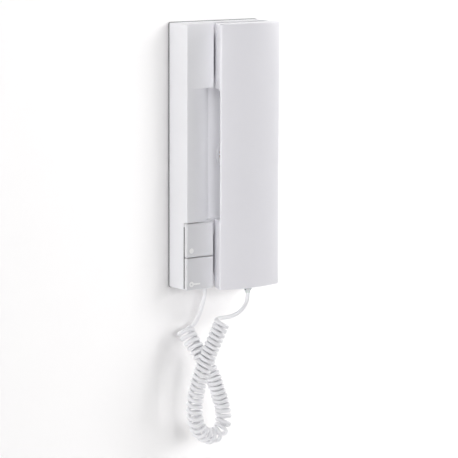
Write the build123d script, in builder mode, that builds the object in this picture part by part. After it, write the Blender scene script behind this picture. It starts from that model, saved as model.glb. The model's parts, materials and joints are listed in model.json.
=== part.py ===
from build123d import *
import math
import os

os.makedirs("parts", exist_ok=True)

# Axes: X to the right, Y into the wall, Z up. The wall is Y = 0, so a depth d in front of it is Y = -d.
# Lengths are millimetres.

# Whole unit
width = 93.0
height = 213.0
wall = 2.0
overrun = 5.0
seat_gap = 0.3

# Front cover
block_width = 26.3
block_depth = 25.0
cradle_depth = 17.0
recess_depth = 9.0
upper_block_height = 51.5
lower_block_height = 54.5
scoop_radius = 40.0
flank_radius = 10.0
ramp_width = 6.0
corner_radius = 9.0
left_corner_radius = 1.2
cover_edge_round = 0.6
hanger_width = 8.0
hanger_height = 3.0
hanger_length = 5.0
hanger_above_earpiece = 2.5
cover_boss_radius = 3.2
cover_pilot_radius = 1.1
cover_boss_from_end = 8.0
cover_boss_from_side = 10.0

# Ringer grille
grille_share = 0.644
grille_below_middle = 1.0
grille_right_of_middle = 0.5
grille_rim_width = 1.6
grille_rim_height = 1.1
grille_plate = 1.2
grille_slot_height = 3.2
grille_bar = 1.4
grille_spigot_wall = 1.2
grille_spigot_fit = 0.1
grille_spigot_reach = 1.6
sounder_ring_width = 2.4
sounder_thickness = 2.2
sounder_disc_thickness = 0.5

# Rear shell and wall bracket
bracket_thickness = 1.8
bracket_side_margin = 4.5
bracket_end_margin = 12.5
bracket_corner = 6.0
bracket_window_margin = 1.0
wall_screw_spacing = 60.0
wall_screw_radius = 2.25
screw_window_radius = 6.5
shell_gap = 0.5
shell_thickness = 1.7
hook_width = 8.0
hook_thickness = 1.6
hook_lip = 2.2
hook_from_side = 9.0
hook_from_end = 12.0
hook_slot_gap = 0.6

# Circuit board and what it carries
board_depth = 12.0
board_thickness = 1.6
board_from_left = 5.5
board_from_right = 14.5
board_above_bottom = 6.9
board_below_recess = 4.6
board_post_radius = 2.4
board_post_pilot_radius = 0.9
board_hole_radius = 1.1
board_screw_inset = 3.4
board_screw_from_left = 16.0
board_screw_head_radius = 2.0
board_screw_head_height = 1.1
board_screw_shank_radius = 0.8
board_screw_length = 6.0
terminal_width = 32.0
terminal_height = 11.0
terminal_ways = 6
terminal_drop = 20.0
terminal_screw_radius = 1.7
terminal_screw_height = 3.0
terminal_hole_radius = 1.85
terminal_hole_depth = 4.0
terminal_window_gap = 1.5
wire_way = 8.0
wire_hole_width = 2.6
screw_slot_width = 0.6
screw_slot_depth = 0.8

# Keys and their switches
key_side_depth = 3.2
key_travel = 1.2
key_spare = 0.3
key_gap = 0.8
key_top_gap = 0.7
key_split_height = 26.3
key_wall = 1.6
key_edge_round = 0.9
key_post_width = 4.0
key_leg_thickness = 1.4
key_leg_width = 6.0
key_leg_inset = 1.6
key_barb = 0.8
key_barb_thickness = 1.1
switch_width = 6.2
switch_body_height = 3.6
switch_stem_radius = 1.75
switch_stem_fit = 0.08
switch_stem_length = 3.0
switch_bore_depth = 3.0

# Hook switch
hook_travel = 3.5
hook_body_width = 12.0
hook_stem_radius = 2.5
hook_flange_radius = 3.6
hook_flange_thickness = 1.2
hook_fit = 0.08
hook_hole_gap = 0.4
hook_roof = 1.2
hook_from_board_end = 14.0
hook_tip_chamfer = 0.8
hook_below_recess = 11.2

# Handset
handset_from_left = 22.5
handset_from_right = 10.5
handset_crown_depth = 43.8
handset_edge_share = 0.791
handset_back_share = 0.28
handset_side_lean = 5.3
handset_wall = 2.0
handset_edge_round = 1.6
handset_back_plate = 2.0
handset_fit = 0.15
pad_side_margin = 8.0
pad_corner = 9.0
pad_wall = 2.0
pad_edge_round = 1.5
pad_from_end = 4.5
ear_hole_radius = 1.1
ear_hole_ring = 6.0
ear_hole_count = 6
mouth_hole_radius = 0.9
mouth_hole_spacing = 4.0
earpiece_share = 0.636
earpiece_thickness = 7.0
earpiece_magnet_share = 0.64
earpiece_magnet_thickness = 4.0
seal_width = 2.6
seal_thickness = 1.0
microphone_radius = 4.85
microphone_thickness = 6.5
holder_wall = 1.6
holder_floor = 1.2
weight_margin = 5.0
weight_height = 60.0
weight_thickness = 4.0
handset_boss_radius = 3.0
handset_boss_skin = 0.5
handset_screw_pilot_radius = 1.1
handset_screw_hole_radius = 1.5
handset_screw_from_pad = 6.0
small_screw_head_radius = 2.6
small_screw_head_height = 0.9
small_screw_bore_radius = 2.9
small_screw_bore_depth = 1.0
small_screw_shank_radius = 1.0
small_screw_length = 9.0

# Jacks and plugs
jack_width = 11.0
jack_depth = 7.2
jack_height = 13.0
plug_width = 7.2
plug_depth = 4.8
plug_length = 10.0
plug_fit = 0.15
base_exit_from_left = 30.0
handset_exit_right_of_middle = 2.9
handset_exit_share = 0.57
boot_width = 5.8
boot_depth = 5.0
boot_length = 2.6
boot_tip_radius = 2.2
boot_taper_length = 3.0

# Small shared shapes
boot_corner = 1.2
rear_wall_share = 1.07
boot_taper = 6.0
key_corner_round = 0.6
grille_slot_count = 4
mouth_hole_count = 3
hanger_gap = 0.6

# Curly cord and its leads
cord_radius = 1.55
coil_wire_sides = 4
lead_sides = 8
coil_radius = 5.1
coil_pitches = [5.2, 4.3, 4.1, 4.0, 4.4, 4.7, 5.3, 4.7, 4.0, 3.9, 4.2]
coil_least_gap = 0.6
coil_turns = 46.92
coil_run_in = 3.3
lead_run_in = 4.2
coil_steps = 40
coil_tiny_turn_share = 0.001
coil_dense_steps = 12
lead_bend_share = 0.45

# Route of the curly part's centre line, from the base's lead to the handset's
coil_route = [
    (-38.8, -11.0, -140.9),
    (-37.1, -16.0, -147.6),
    (-34.7, -21.0, -154.5),
    (-31.8, -25.0, -161.2),
    (-29.2, -28.0, -167.0),
    (-26.1, -30.0, -174.1),
    (-23.3, -31.0, -181.7),
    (-20.9, -31.8, -189.2),
    (-18.4, -32.3, -197.1),
    (-16.0, -32.8, -205.7),
    (-15.5, -33.2, -215.9),
    (-21.2, -33.8, -224.5),
    (-31.9, -34.6, -226.4),
    (-42.3, -35.5, -219.5),
    (-47.1, -36.5, -208.4),
    (-48.2, -37.7, -197.1),
    (-47.4, -39.0, -187.5),
    (-45.7, -40.5, -178.2),
    (-43.9, -42.0, -170.0),
    (-41.0, -43.5, -161.1),
    (-37.4, -45.2, -151.6),
    (-33.3, -47.0, -141.1),
    (-29.3, -49.0, -130.0),
]

# Routes of the leads: from the base down to the coil, and from the coil up to the handset
base_lead_route = [
    (-16.5, -8.4, -106.5),
    (-16.5, -8.4, -111.5),
    (-17.3, -8.2, -117.6),
    (-19.0, -7.9, -123.8),
    (-21.2, -7.4, -130.0),
    (-23.9, -6.9, -135.6),
    (-26.5, -6.5, -139.0),
]
handset_lead_route = [
    (-20.2, -38.6, -128.9),
    (-13.3, -37.3, -129.2),
    (-5.1, -35.4, -128.4),
    (2.5, -33.4, -125.4),
    (6.8, -32.4, -121.4),
    (8.9, -32.3, -116.8),
    (8.9, -32.3, -112.1),
]

# Places worked out from the sizes above
x_left = -width / 2
x_right = width / 2
z_top = height / 2
z_bottom = -height / 2
cradle_x = x_left + block_width
recess_top = z_top - upper_block_height
recess_bottom = z_bottom + lower_block_height
scoop_angle = math.acos(1 - (block_depth - recess_depth) / scoop_radius)
scoop_end_x = x_left + scoop_radius * math.sin(scoop_angle)
flank_x = x_right - flank_radius
recess_right_x = flank_x - ramp_width
key_rear_depth = block_depth - key_side_depth
key_seat_depth = key_rear_depth - key_travel - key_spare
handset_width = width - handset_from_left - handset_from_right
handset_x = x_left + handset_from_left + handset_width / 2
handset_back_width = handset_width - 2 * handset_side_lean
handset_reach = handset_crown_depth - cradle_depth
handset_edge_depth = cradle_depth + handset_edge_share * handset_reach
handset_back_depth = cradle_depth + handset_back_share * handset_reach
handset_exit_depth = cradle_depth + handset_exit_share * handset_reach
pad_width = handset_width - 2 * pad_side_margin
pad_height = pad_width
earpiece_radius = earpiece_share * pad_width / 2
earpiece_magnet_radius = earpiece_magnet_share * earpiece_radius
weight_width = pad_width - 2 * weight_margin
pad_depth = cradle_depth + seat_gap
bracket_width = width - 2 * bracket_side_margin
bracket_height = height - 2 * bracket_end_margin
shell_back = bracket_thickness + shell_gap
shell_front = shell_back + shell_thickness
board_front = board_depth + board_thickness
board_width = width - board_from_left - board_from_right
board_height = lower_block_height - board_below_recess - board_above_bottom
board_x = x_left + board_from_left + board_width / 2
board_z = recess_bottom - board_below_recess - board_height / 2
key_x = x_left + block_width / 2
upper_key_bottom = z_bottom + key_split_height + key_gap / 2
upper_key_top = recess_bottom - key_top_gap
lower_key_top = z_bottom + key_split_height - key_gap / 2
hook_x = board_x + board_width / 2 - hook_from_board_end
hook_z = recess_bottom - hook_below_recess
base_exit_x = x_left + base_exit_from_left
base_exit_depth = board_depth - jack_depth / 2
handset_exit_x = handset_x + handset_exit_right_of_middle
ear_z = z_top - pad_from_end - pad_height / 2
mouth_z = z_bottom + pad_from_end + pad_height / 2
hanger_z = ear_z + earpiece_radius + hanger_above_earpiece
grille_x = (scoop_end_x + recess_right_x) / 2 + grille_right_of_middle
grille_radius = grille_share * (recess_right_x - scoop_end_x) / 2
grille_z = -grille_below_middle
key_centres = [(upper_key_bottom + upper_key_top) / 2, (z_bottom + lower_key_top) / 2]
key_leg_x = block_width / 2 - key_wall - key_leg_inset - key_leg_thickness / 2
key_barb_x = key_leg_x + key_barb
key_barb_front = key_seat_depth - wall - seat_gap
switch_stem_end = board_front + switch_body_height + key_travel + key_spare
terminal_z = board_z + board_height / 2 - terminal_drop
terminal_pitch = terminal_width / terminal_ways
terminal_wire_depth = shell_back + terminal_hole_depth + wire_hole_width / 2 + seat_gap
window_width = terminal_width + 2 * terminal_window_gap
window_height = terminal_height + terminal_window_gap + wire_way
window_z = terminal_z + (terminal_window_gap - wire_way) / 2
wall_screw_places = [(0, wall_screw_spacing / 2), (0, -wall_screw_spacing / 2)]
hook_x_place = bracket_width / 2 - hook_from_side
hook_z_place = bracket_height / 2 - hook_from_end
hook_places = [(sx * hook_x_place, sz * hook_z_place) for sx in (-1, 1) for sz in (-1, 1)]
hook_lip_places = [(x, z + hook_lip / 2) for x, z in hook_places]
hook_slot_height = hook_thickness + hook_lip + 2 * hook_slot_gap
hook_slot_places = [(x, z - hook_lip / 2) for x, z in hook_places]
hook_reach = shell_front + seat_gap + hook_thickness - bracket_thickness
board_post_places = [
    (x, board_z + side * (board_height / 2 - board_screw_inset))
    for x in (
        board_x - board_width / 2 + board_screw_from_left,
        board_x + board_width / 2 - board_screw_inset,
    )
    for side in (-1, 1)
]
handset_screw_places = [
    (handset_x, ear_z - pad_height / 2 - handset_screw_from_pad),
    (handset_x, mouth_z + pad_height / 2 + handset_screw_from_pad),
]
rear_plate_width = handset_back_width - 2 * (handset_wall * rear_wall_share + handset_fit)
cover_boss_places = [
    (x_right - cover_boss_from_side, z_top - cover_boss_from_end),
    (x_right - cover_boss_from_side, z_bottom + cover_boss_from_end),
]


def facing(depth):
    """The plane at this depth in front of the wall, facing the room, with X across and Z up."""
    return Plane.XZ.offset(depth)


def level(z):
    """The level plane at this height, seen from above."""
    return Plane.XY.offset(z)


def block_outline(front, back):
    """Section of the cover at its blocks: left wall, block, cradle and rounded right flank."""
    with BuildSketch() as outline:
        with BuildLine():
            Polyline(
                (x_left, -back),
                (x_left, -front),
                (cradle_x, -front),
                (cradle_x, -cradle_depth),
                (flank_x, -cradle_depth),
            )
            RadiusArc((flank_x, -cradle_depth), (x_right, flank_radius - cradle_depth), -flank_radius)
            Polyline((x_right, flank_radius - cradle_depth), (x_right, -back), (x_left, -back))
        make_face()
        fillet([v for v in outline.vertices() if abs(v.Y + front) < seat_gap], cover_edge_round)
    return outline.sketch


def recess_outline(back):
    """Section of the cover at the finger recess: the scoop rolls from the front edge to the floor."""
    half = scoop_angle / 2
    with BuildSketch() as outline:
        with BuildLine():
            Line((x_left, -back), (x_left, -block_depth))
            ThreePointArc(
                (x_left, -block_depth),
                (
                    x_left + scoop_radius * math.sin(half),
                    scoop_radius * (1 - math.cos(half)) - block_depth,
                ),
                (scoop_end_x, -recess_depth),
            )
            Polyline(
                (scoop_end_x, -recess_depth),
                (recess_right_x, -recess_depth),
                (flank_x, -cradle_depth),
            )
            RadiusArc((flank_x, -cradle_depth), (x_right, flank_radius - cradle_depth), -flank_radius)
            Polyline((x_right, flank_radius - cradle_depth), (x_right, -back), (x_left, -back))
        make_face()
    return outline.sketch


def front_view(inset):
    """Outline of the unit from the front, with large corners at the right, drawn in by inset."""
    with BuildSketch() as outline:
        Rectangle(width - 2 * inset, height - 2 * inset)
        right = outline.vertices().group_by(Axis.X)[-1]
        fillet(right, corner_radius - inset)
        if inset < left_corner_radius:
            left = outline.vertices().group_by(Axis.X)[0]
            fillet(left, left_corner_radius - inset)
    return outline.sketch


def recess_room_outline():
    """What the recess takes out of the cover: everything in front of its scoop and floor."""
    half = scoop_angle / 2
    with BuildSketch() as outline:
        with BuildLine():
            Polyline(
                (x_left, -block_depth),
                (x_left, -block_depth - overrun),
                (flank_x, -block_depth - overrun),
                (flank_x, -cradle_depth),
                (recess_right_x, -recess_depth),
                (scoop_end_x, -recess_depth),
            )
            ThreePointArc(
                (scoop_end_x, -recess_depth),
                (
                    x_left + scoop_radius * math.sin(half),
                    scoop_radius * (1 - math.cos(half)) - block_depth,
                ),
                (x_left, -block_depth),
            )
        make_face()
    return outline.sketch


# Front cover: cavity
with BuildPart() as cover_cavity:
    with BuildSketch(level(z_bottom + wall)):
        add(block_outline(key_seat_depth, -overrun))
        offset(amount=-wall)
    extrude(amount=lower_block_height - 2 * wall)
    with BuildSketch(level(recess_top + wall)):
        add(block_outline(block_depth, -overrun))
        offset(amount=-wall)
    extrude(amount=upper_block_height - 2 * wall)
    with BuildSketch(level(recess_bottom - wall)):
        add(recess_outline(-overrun))
        offset(amount=-wall)
    extrude(amount=recess_top - recess_bottom + 2 * wall)
    with BuildSketch(facing(-overrun)):
        add(front_view(wall))
    extrude(amount=block_depth + 2 * overrun, mode=Mode.INTERSECT)

# Front cover
with BuildPart() as front_cover:
    with BuildSketch(level(z_bottom)):
        add(block_outline(block_depth, 0))
    extrude(amount=height)
    with BuildSketch(level(recess_bottom)):
        add(recess_room_outline())
    extrude(amount=recess_top - recess_bottom, mode=Mode.SUBTRACT)
    with BuildSketch(facing(key_seat_depth)):
        with Locations((key_x, (z_bottom + recess_bottom - overrun) / 2)):
            Rectangle(block_width + 2 * overrun, lower_block_height + overrun)
    extrude(amount=block_depth, mode=Mode.SUBTRACT)
    with BuildSketch(facing(-overrun)):
        add(front_view(0))
    extrude(amount=block_depth + 2 * overrun, mode=Mode.INTERSECT)
    add(cover_cavity.part, mode=Mode.SUBTRACT)

    # bosses for the cover screws
    with BuildSketch(facing(shell_front)):
        with Locations(*cover_boss_places):
            Circle(cover_boss_radius)
    extrude(amount=cradle_depth - wall / 2 - shell_front)
    with BuildSketch(facing(shell_front)):
        with Locations(*cover_boss_places):
            Circle(cover_pilot_radius)
    extrude(amount=cradle_depth - wall - shell_front, mode=Mode.SUBTRACT)

    # peg that the handset hangs on
    with BuildSketch(facing(cradle_depth - wall / 2)):
        with Locations((handset_x, hanger_z)):
            SlotOverall(hanger_width, hanger_height)
    extrude(amount=hanger_length + wall / 2)

    # holes for the grille, the hook plunger and the key posts and legs
    with BuildSketch(facing(-overrun)):
        with Locations((grille_x, grille_z)):
            Circle(grille_radius - grille_rim_width)
        with Locations((hook_x, hook_z)):
            Circle(hook_stem_radius + hook_hole_gap)
        for key_z in key_centres:
            with Locations((key_x, key_z)):
                Rectangle(key_post_width + 2 * seat_gap, key_post_width + 2 * seat_gap)
            with Locations((key_x - key_leg_x, key_z), (key_x + key_leg_x, key_z)):
                Rectangle(key_leg_thickness + 2 * seat_gap, key_leg_width + 2 * seat_gap)
    extrude(amount=block_depth + 2 * overrun, mode=Mode.SUBTRACT)

    # mouth for the cord's plug in the bottom wall
    with BuildSketch(level(z_bottom - overrun)):
        with Locations((base_exit_x, -base_exit_depth)):
            Rectangle(plug_width + 2 * seat_gap, plug_depth + 2 * seat_gap)
    extrude(amount=wall + 2 * overrun, mode=Mode.SUBTRACT)
front_cover.part.label = "front_cover"
export_step(front_cover.part, "parts/front_cover.step")

# Ringer grille: slotted disc with a raised rim and a spigot through the recess floor
grille_hole = grille_radius - grille_rim_width
with BuildPart() as ringer_grille:
    with BuildSketch(facing(recess_depth)):
        with Locations((grille_x, grille_z)):
            Circle(grille_radius)
    extrude(amount=grille_rim_height)
    with BuildSketch(facing(recess_depth - grille_spigot_reach)):
        with Locations((grille_x, grille_z)):
            Circle(grille_hole - grille_spigot_fit)
    extrude(amount=grille_spigot_reach)
    with BuildSketch(facing(recess_depth + grille_rim_height / 2)):
        with Locations((grille_x, grille_z)):
            Circle(grille_hole)
    extrude(amount=grille_rim_height, mode=Mode.SUBTRACT)
    with BuildSketch(facing(recess_depth - grille_spigot_reach - overrun)):
        with Locations((grille_x, grille_z)):
            Circle(grille_hole - grille_spigot_fit - grille_spigot_wall)
    extrude(
        amount=grille_spigot_reach + overrun + grille_rim_height / 2 - grille_plate,
        mode=Mode.SUBTRACT,
    )
    with BuildSketch(facing(recess_depth - grille_spigot_reach)):
        with Locations((grille_x, grille_z)):
            with GridLocations(0, grille_slot_height + grille_bar, 1, grille_slot_count):
                Rectangle(2 * grille_hole, grille_slot_height)
            Circle(grille_hole - grille_spigot_fit - grille_spigot_wall, mode=Mode.INTERSECT)
    extrude(amount=grille_spigot_reach + grille_rim_height, mode=Mode.SUBTRACT)
ringer_grille.part.label = "ringer_grille"
export_step(ringer_grille.part, "parts/ringer_grille.step")

# Ringer sounder: a thin disc held in a ring behind the grille
sounder_front = recess_depth - wall
with BuildPart() as ringer_sounder:
    with BuildSketch(facing(sounder_front - sounder_thickness)):
        with Locations((grille_x, grille_z)):
            Circle(grille_radius)
    extrude(amount=sounder_thickness)
    with BuildSketch(facing(sounder_front - sounder_thickness + sounder_disc_thickness)):
        with Locations((grille_x, grille_z)):
            Circle(grille_radius - sounder_ring_width)
    extrude(amount=sounder_thickness, mode=Mode.SUBTRACT)
ringer_sounder.part.label = "ringer_sounder"
export_step(ringer_sounder.part, "parts/ringer_sounder.step")

# Rear shell
shell_inset = wall + seat_gap
with BuildPart() as rear_shell:
    with BuildSketch(facing(shell_back)):
        add(front_view(shell_inset))
        with Locations(*wall_screw_places):
            Circle(screw_window_radius, mode=Mode.SUBTRACT)
        with Locations((board_x, window_z)):
            Rectangle(window_width, window_height, mode=Mode.SUBTRACT)
        with Locations(*hook_slot_places):
            Rectangle(hook_width + 2 * hook_slot_gap, hook_slot_height, mode=Mode.SUBTRACT)
        with Locations(*cover_boss_places):
            Circle(handset_screw_hole_radius, mode=Mode.SUBTRACT)
    extrude(amount=shell_thickness)
    with BuildSketch(facing(shell_front)):
        with Locations(*board_post_places):
            Circle(board_post_radius)
    extrude(amount=board_depth - shell_front)
    with BuildSketch(facing(shell_front)):
        with Locations(*board_post_places):
            Circle(board_post_pilot_radius)
    extrude(amount=board_depth - shell_front, mode=Mode.SUBTRACT)
rear_shell.part.label = "rear_shell"
export_step(rear_shell.part, "parts/rear_shell.step")

# Wall bracket: plate with two screw holes, a wire window and four hooks
with BuildPart() as wall_bracket:
    with BuildSketch(facing(0)):
        RectangleRounded(bracket_width, bracket_height, bracket_corner)
        with Locations(*wall_screw_places):
            Circle(wall_screw_radius, mode=Mode.SUBTRACT)
        with Locations((board_x, window_z)):
            Rectangle(
                window_width + 2 * bracket_window_margin,
                window_height + 2 * bracket_window_margin,
                mode=Mode.SUBTRACT,
            )
    extrude(amount=bracket_thickness)
    with BuildSketch(facing(bracket_thickness)):
        with Locations(*hook_places):
            Rectangle(hook_width, hook_thickness)
    extrude(amount=hook_reach)
    with BuildSketch(facing(bracket_thickness + hook_reach - hook_thickness)):
        with Locations(*hook_lip_places):
            Rectangle(hook_width, hook_thickness + hook_lip)
    extrude(amount=hook_thickness)
wall_bracket.part.label = "wall_bracket"
export_step(wall_bracket.part, "parts/wall_bracket.step")

# Circuit board
with BuildPart() as main_board:
    with BuildSketch(facing(board_depth)):
        with Locations((board_x, board_z)):
            Rectangle(board_width, board_height)
        with Locations(*board_post_places):
            Circle(board_hole_radius, mode=Mode.SUBTRACT)
        with Locations((hook_x, hook_z)):
            Circle(hook_stem_radius + hook_hole_gap, mode=Mode.SUBTRACT)
    extrude(amount=board_thickness)
main_board.part.label = "main_board"
export_step(main_board.part, "parts/main_board.step")


def screws(places, head_depth, towards_room, head_radius, head_height, shank_radius, length):
    """Pan head screws at these places; head_depth is the depth of the face under their heads."""
    step = 1 if towards_room else -1
    with BuildPart() as group:
        with BuildSketch(facing(head_depth)):
            with Locations(*places):
                Circle(head_radius)
        extrude(amount=-step * head_height)
        with BuildSketch(facing(head_depth)):
            with Locations(*places):
                Circle(shank_radius)
        extrude(amount=step * length)
        with BuildSketch(facing(head_depth - step * head_height)):
            with Locations(*places):
                Rectangle(head_radius, screw_slot_width)
                Rectangle(screw_slot_width, head_radius)
        extrude(amount=step * head_height / 2, mode=Mode.SUBTRACT)
    return group.part


board_screws = screws(
    board_post_places,
    board_front,
    False,
    board_screw_head_radius,
    board_screw_head_height,
    board_screw_shank_radius,
    board_screw_length,
)
board_screws.label = "board_screws"
export_step(board_screws, "parts/board_screws.step")

cover_screws = screws(
    cover_boss_places,
    shell_back,
    True,
    small_screw_head_radius,
    small_screw_head_height,
    small_screw_shank_radius,
    small_screw_length,
)
cover_screws.label = "cover_screws"
export_step(cover_screws, "parts/cover_screws.step")

# Terminal block on the back of the board, open to the window in the rear shell
with BuildPart() as terminal_block:
    with BuildSketch(facing(shell_back)):
        with Locations((board_x, terminal_z)):
            Rectangle(terminal_width, terminal_height)
    extrude(amount=board_depth - shell_back)
    with BuildSketch(facing(shell_back)):
        with Locations((board_x, terminal_z)):
            with GridLocations(terminal_pitch, 0, terminal_ways, 1):
                Circle(terminal_hole_radius)
    extrude(amount=terminal_hole_depth, mode=Mode.SUBTRACT)
    with BuildSketch(level(terminal_z - terminal_height / 2)):
        with Locations((board_x, -terminal_wire_depth)):
            with GridLocations(terminal_pitch, 0, terminal_ways, 1):
                Rectangle(wire_hole_width, wire_hole_width)
    extrude(amount=terminal_height / 2, mode=Mode.SUBTRACT)
terminal_block.part.label = "terminal_block"
export_step(terminal_block.part, "parts/terminal_block.step")

with BuildPart() as terminal_screws:
    with BuildSketch(facing(shell_back + terminal_hole_depth - terminal_screw_height)):
        with Locations((board_x, terminal_z)):
            with GridLocations(terminal_pitch, 0, terminal_ways, 1):
                Circle(terminal_screw_radius)
    extrude(amount=terminal_screw_height)
    with BuildSketch(facing(shell_back + terminal_hole_depth - terminal_screw_height)):
        with Locations((board_x, terminal_z)):
            with GridLocations(terminal_pitch, 0, terminal_ways, 1):
                Rectangle(2 * terminal_screw_radius, screw_slot_width)
    extrude(amount=screw_slot_depth, mode=Mode.SUBTRACT)
terminal_screws.part.label = "terminal_screws"
export_step(terminal_screws.part, "parts/terminal_screws.step")


def key_cap(bottom, top):
    """A key: shallow cap over the block's corner, with a post to its switch and two barbed legs."""
    middle = (bottom + top) / 2
    with BuildPart() as cap:
        with BuildSketch(facing(key_rear_depth)):
            with Locations((key_x, middle)):
                RectangleRounded(block_width, top - bottom, key_corner_round)
        extrude(amount=key_side_depth)
        fillet(cap.faces().sort_by(Axis.Y)[0].edges(), key_edge_round)
        with BuildSketch(facing(key_rear_depth)):
            with Locations((key_x, middle)):
                Rectangle(block_width - 2 * key_wall, top - bottom - 2 * key_wall)
        extrude(amount=key_side_depth - key_wall, mode=Mode.SUBTRACT)
        with BuildSketch(facing(switch_stem_end)):
            with Locations((key_x, middle)):
                Rectangle(key_post_width, key_post_width)
        extrude(amount=block_depth - key_wall / 2 - switch_stem_end)
        with BuildSketch(facing(key_barb_front - key_barb_thickness)):
            with Locations((key_x - key_leg_x, middle), (key_x + key_leg_x, middle)):
                Rectangle(key_leg_thickness, key_leg_width)
        extrude(amount=block_depth - key_wall / 2 - key_barb_front + key_barb_thickness)
        with BuildSketch(facing(key_barb_front - key_barb_thickness)):
            with Locations((key_x - key_barb_x, middle), (key_x + key_barb_x, middle)):
                Rectangle(key_leg_thickness, key_leg_width)
        extrude(amount=key_barb_thickness)
    return cap.part


def key_switch(middle):
    """The fixed body of a key's switch, with the bore that its stem slides in."""
    with BuildPart() as body:
        with BuildSketch(facing(board_front)):
            with Locations((key_x, middle)):
                RectangleRounded(switch_width, switch_width, key_corner_round)
        extrude(amount=switch_body_height)
        with BuildSketch(facing(board_front + switch_body_height - switch_bore_depth)):
            with Locations((key_x, middle)):
                Circle(switch_stem_radius + switch_stem_fit)
        extrude(amount=switch_bore_depth, mode=Mode.SUBTRACT)
    return body.part


def key_stem(middle):
    """The stem of a key's switch, which the key's post rests on."""
    with BuildPart() as stem:
        with BuildSketch(facing(switch_stem_end - switch_stem_length)):
            with Locations((key_x, middle)):
                Circle(switch_stem_radius)
        extrude(amount=switch_stem_length)
    return stem.part


for name, bottom, top in (
    ("upper", upper_key_bottom, upper_key_top),
    ("lower", z_bottom, lower_key_top),
):
    middle = (bottom + top) / 2
    for piece, solid in (
        ("key", key_cap(bottom, top)),
        ("switch_body", key_switch(middle)),
        ("switch_stem", key_stem(middle)),
    ):
        solid.label = f"{name}_{piece}"
        export_step(solid, f"parts/{name}_{piece}.step")

# Hook switch: housing on the back of the board
with BuildPart() as hook_switch_body:
    with BuildSketch(facing(shell_front)):
        with Locations((hook_x, hook_z)):
            Rectangle(hook_body_width, hook_body_width)
    extrude(amount=board_depth - shell_front)
    with BuildSketch(facing(shell_front)):
        with Locations((hook_x, hook_z)):
            Circle(hook_flange_radius + hook_fit)
    extrude(amount=board_depth - hook_roof - shell_front, mode=Mode.SUBTRACT)
    with BuildSketch(facing(shell_front)):
        with Locations((hook_x, hook_z)):
            Circle(hook_stem_radius + hook_fit)
    extrude(amount=board_depth - shell_front, mode=Mode.SUBTRACT)
hook_switch_body.part.label = "hook_switch_body"
export_step(hook_switch_body.part, "parts/hook_switch_body.step")

# Hook plunger: pressed in by the handset
hook_flange_rear = board_depth - hook_roof - hook_travel - hook_flange_thickness - seat_gap
with BuildPart() as hook_plunger:
    with BuildSketch(facing(hook_flange_rear)):
        with Locations((hook_x, hook_z)):
            Circle(hook_flange_radius)
    extrude(amount=hook_flange_thickness)
    with BuildSketch(facing(hook_flange_rear)):
        with Locations((hook_x, hook_z)):
            Circle(hook_stem_radius)
    extrude(amount=cradle_depth - hook_flange_rear)
    chamfer(hook_plunger.faces().sort_by(Axis.Y)[0].edges(), hook_tip_chamfer)
hook_plunger.part.label = "hook_plunger"
export_step(hook_plunger.part, "parts/hook_plunger.step")


def jack(x, depth, bottom):
    """A jack open at the bottom, in which a cord's plug sits."""
    with BuildPart() as body:
        with BuildSketch(level(bottom)):
            with Locations((x, -depth)):
                Rectangle(jack_width, jack_depth)
        extrude(amount=jack_height)
        with BuildSketch(level(bottom)):
            with Locations((x, -depth)):
                Rectangle(plug_width + 2 * plug_fit, plug_depth + 2 * plug_fit)
        extrude(amount=plug_length + plug_fit, mode=Mode.SUBTRACT)
    return body.part


base_socket = jack(base_exit_x, base_exit_depth, z_bottom + wall)
base_socket.label = "base_socket"
export_step(base_socket, "parts/base_socket.step")

handset_socket = jack(handset_exit_x, handset_exit_depth, z_bottom + handset_wall)
handset_socket.label = "handset_socket"
export_step(handset_socket, "parts/handset_socket.step")

with BuildPart() as base_plug:
    with BuildSketch(level(z_bottom)):
        with Locations((base_exit_x, -base_exit_depth)):
            Rectangle(plug_width, plug_depth)
    extrude(amount=wall + plug_length)
base_plug.part.label = "base_plug"
export_step(base_plug.part, "parts/base_plug.step")

with BuildPart() as handset_plug:
    with BuildSketch(level(z_bottom)):
        with Locations((handset_exit_x, -handset_exit_depth)):
            Rectangle(plug_width, plug_depth)
    extrude(amount=handset_wall + plug_length)
    with BuildSketch(level(z_bottom)):
        with Locations((handset_exit_x, -handset_exit_depth)):
            RectangleRounded(boot_width, boot_depth, boot_corner)
    extrude(amount=-boot_length)
    with BuildSketch(level(z_bottom - boot_length)):
        with Locations((handset_exit_x, -handset_exit_depth)):
            Circle(boot_tip_radius)
    extrude(amount=-boot_taper_length, taper=boot_taper)
handset_plug.part.label = "handset_plug"
export_step(handset_plug.part, "parts/handset_plug.step")


def handset_outline(rear, front_round):
    """Section of the handset: slanted sides down to rear, and a convex front."""
    slope = (handset_width - handset_back_width) / 2 / (handset_edge_depth - handset_back_depth)
    rear_half = handset_back_width / 2 + (rear - handset_back_depth) * slope
    front_half = handset_width / 2
    with BuildSketch() as outline:
        with BuildLine():
            Line((handset_x + front_half, -handset_edge_depth), (handset_x + rear_half, -rear))
            Line((handset_x + rear_half, -rear), (handset_x - rear_half, -rear))
            Line((handset_x - rear_half, -rear), (handset_x - front_half, -handset_edge_depth))
            ThreePointArc(
                (handset_x - front_half, -handset_edge_depth),
                (handset_x, -handset_crown_depth),
                (handset_x + front_half, -handset_edge_depth),
            )
        make_face()
        corners = [
            v for v in outline.vertices() if abs(v.Y + handset_edge_depth) < handset_fit
        ]
        fillet(corners, front_round)
    return outline.sketch


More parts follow.
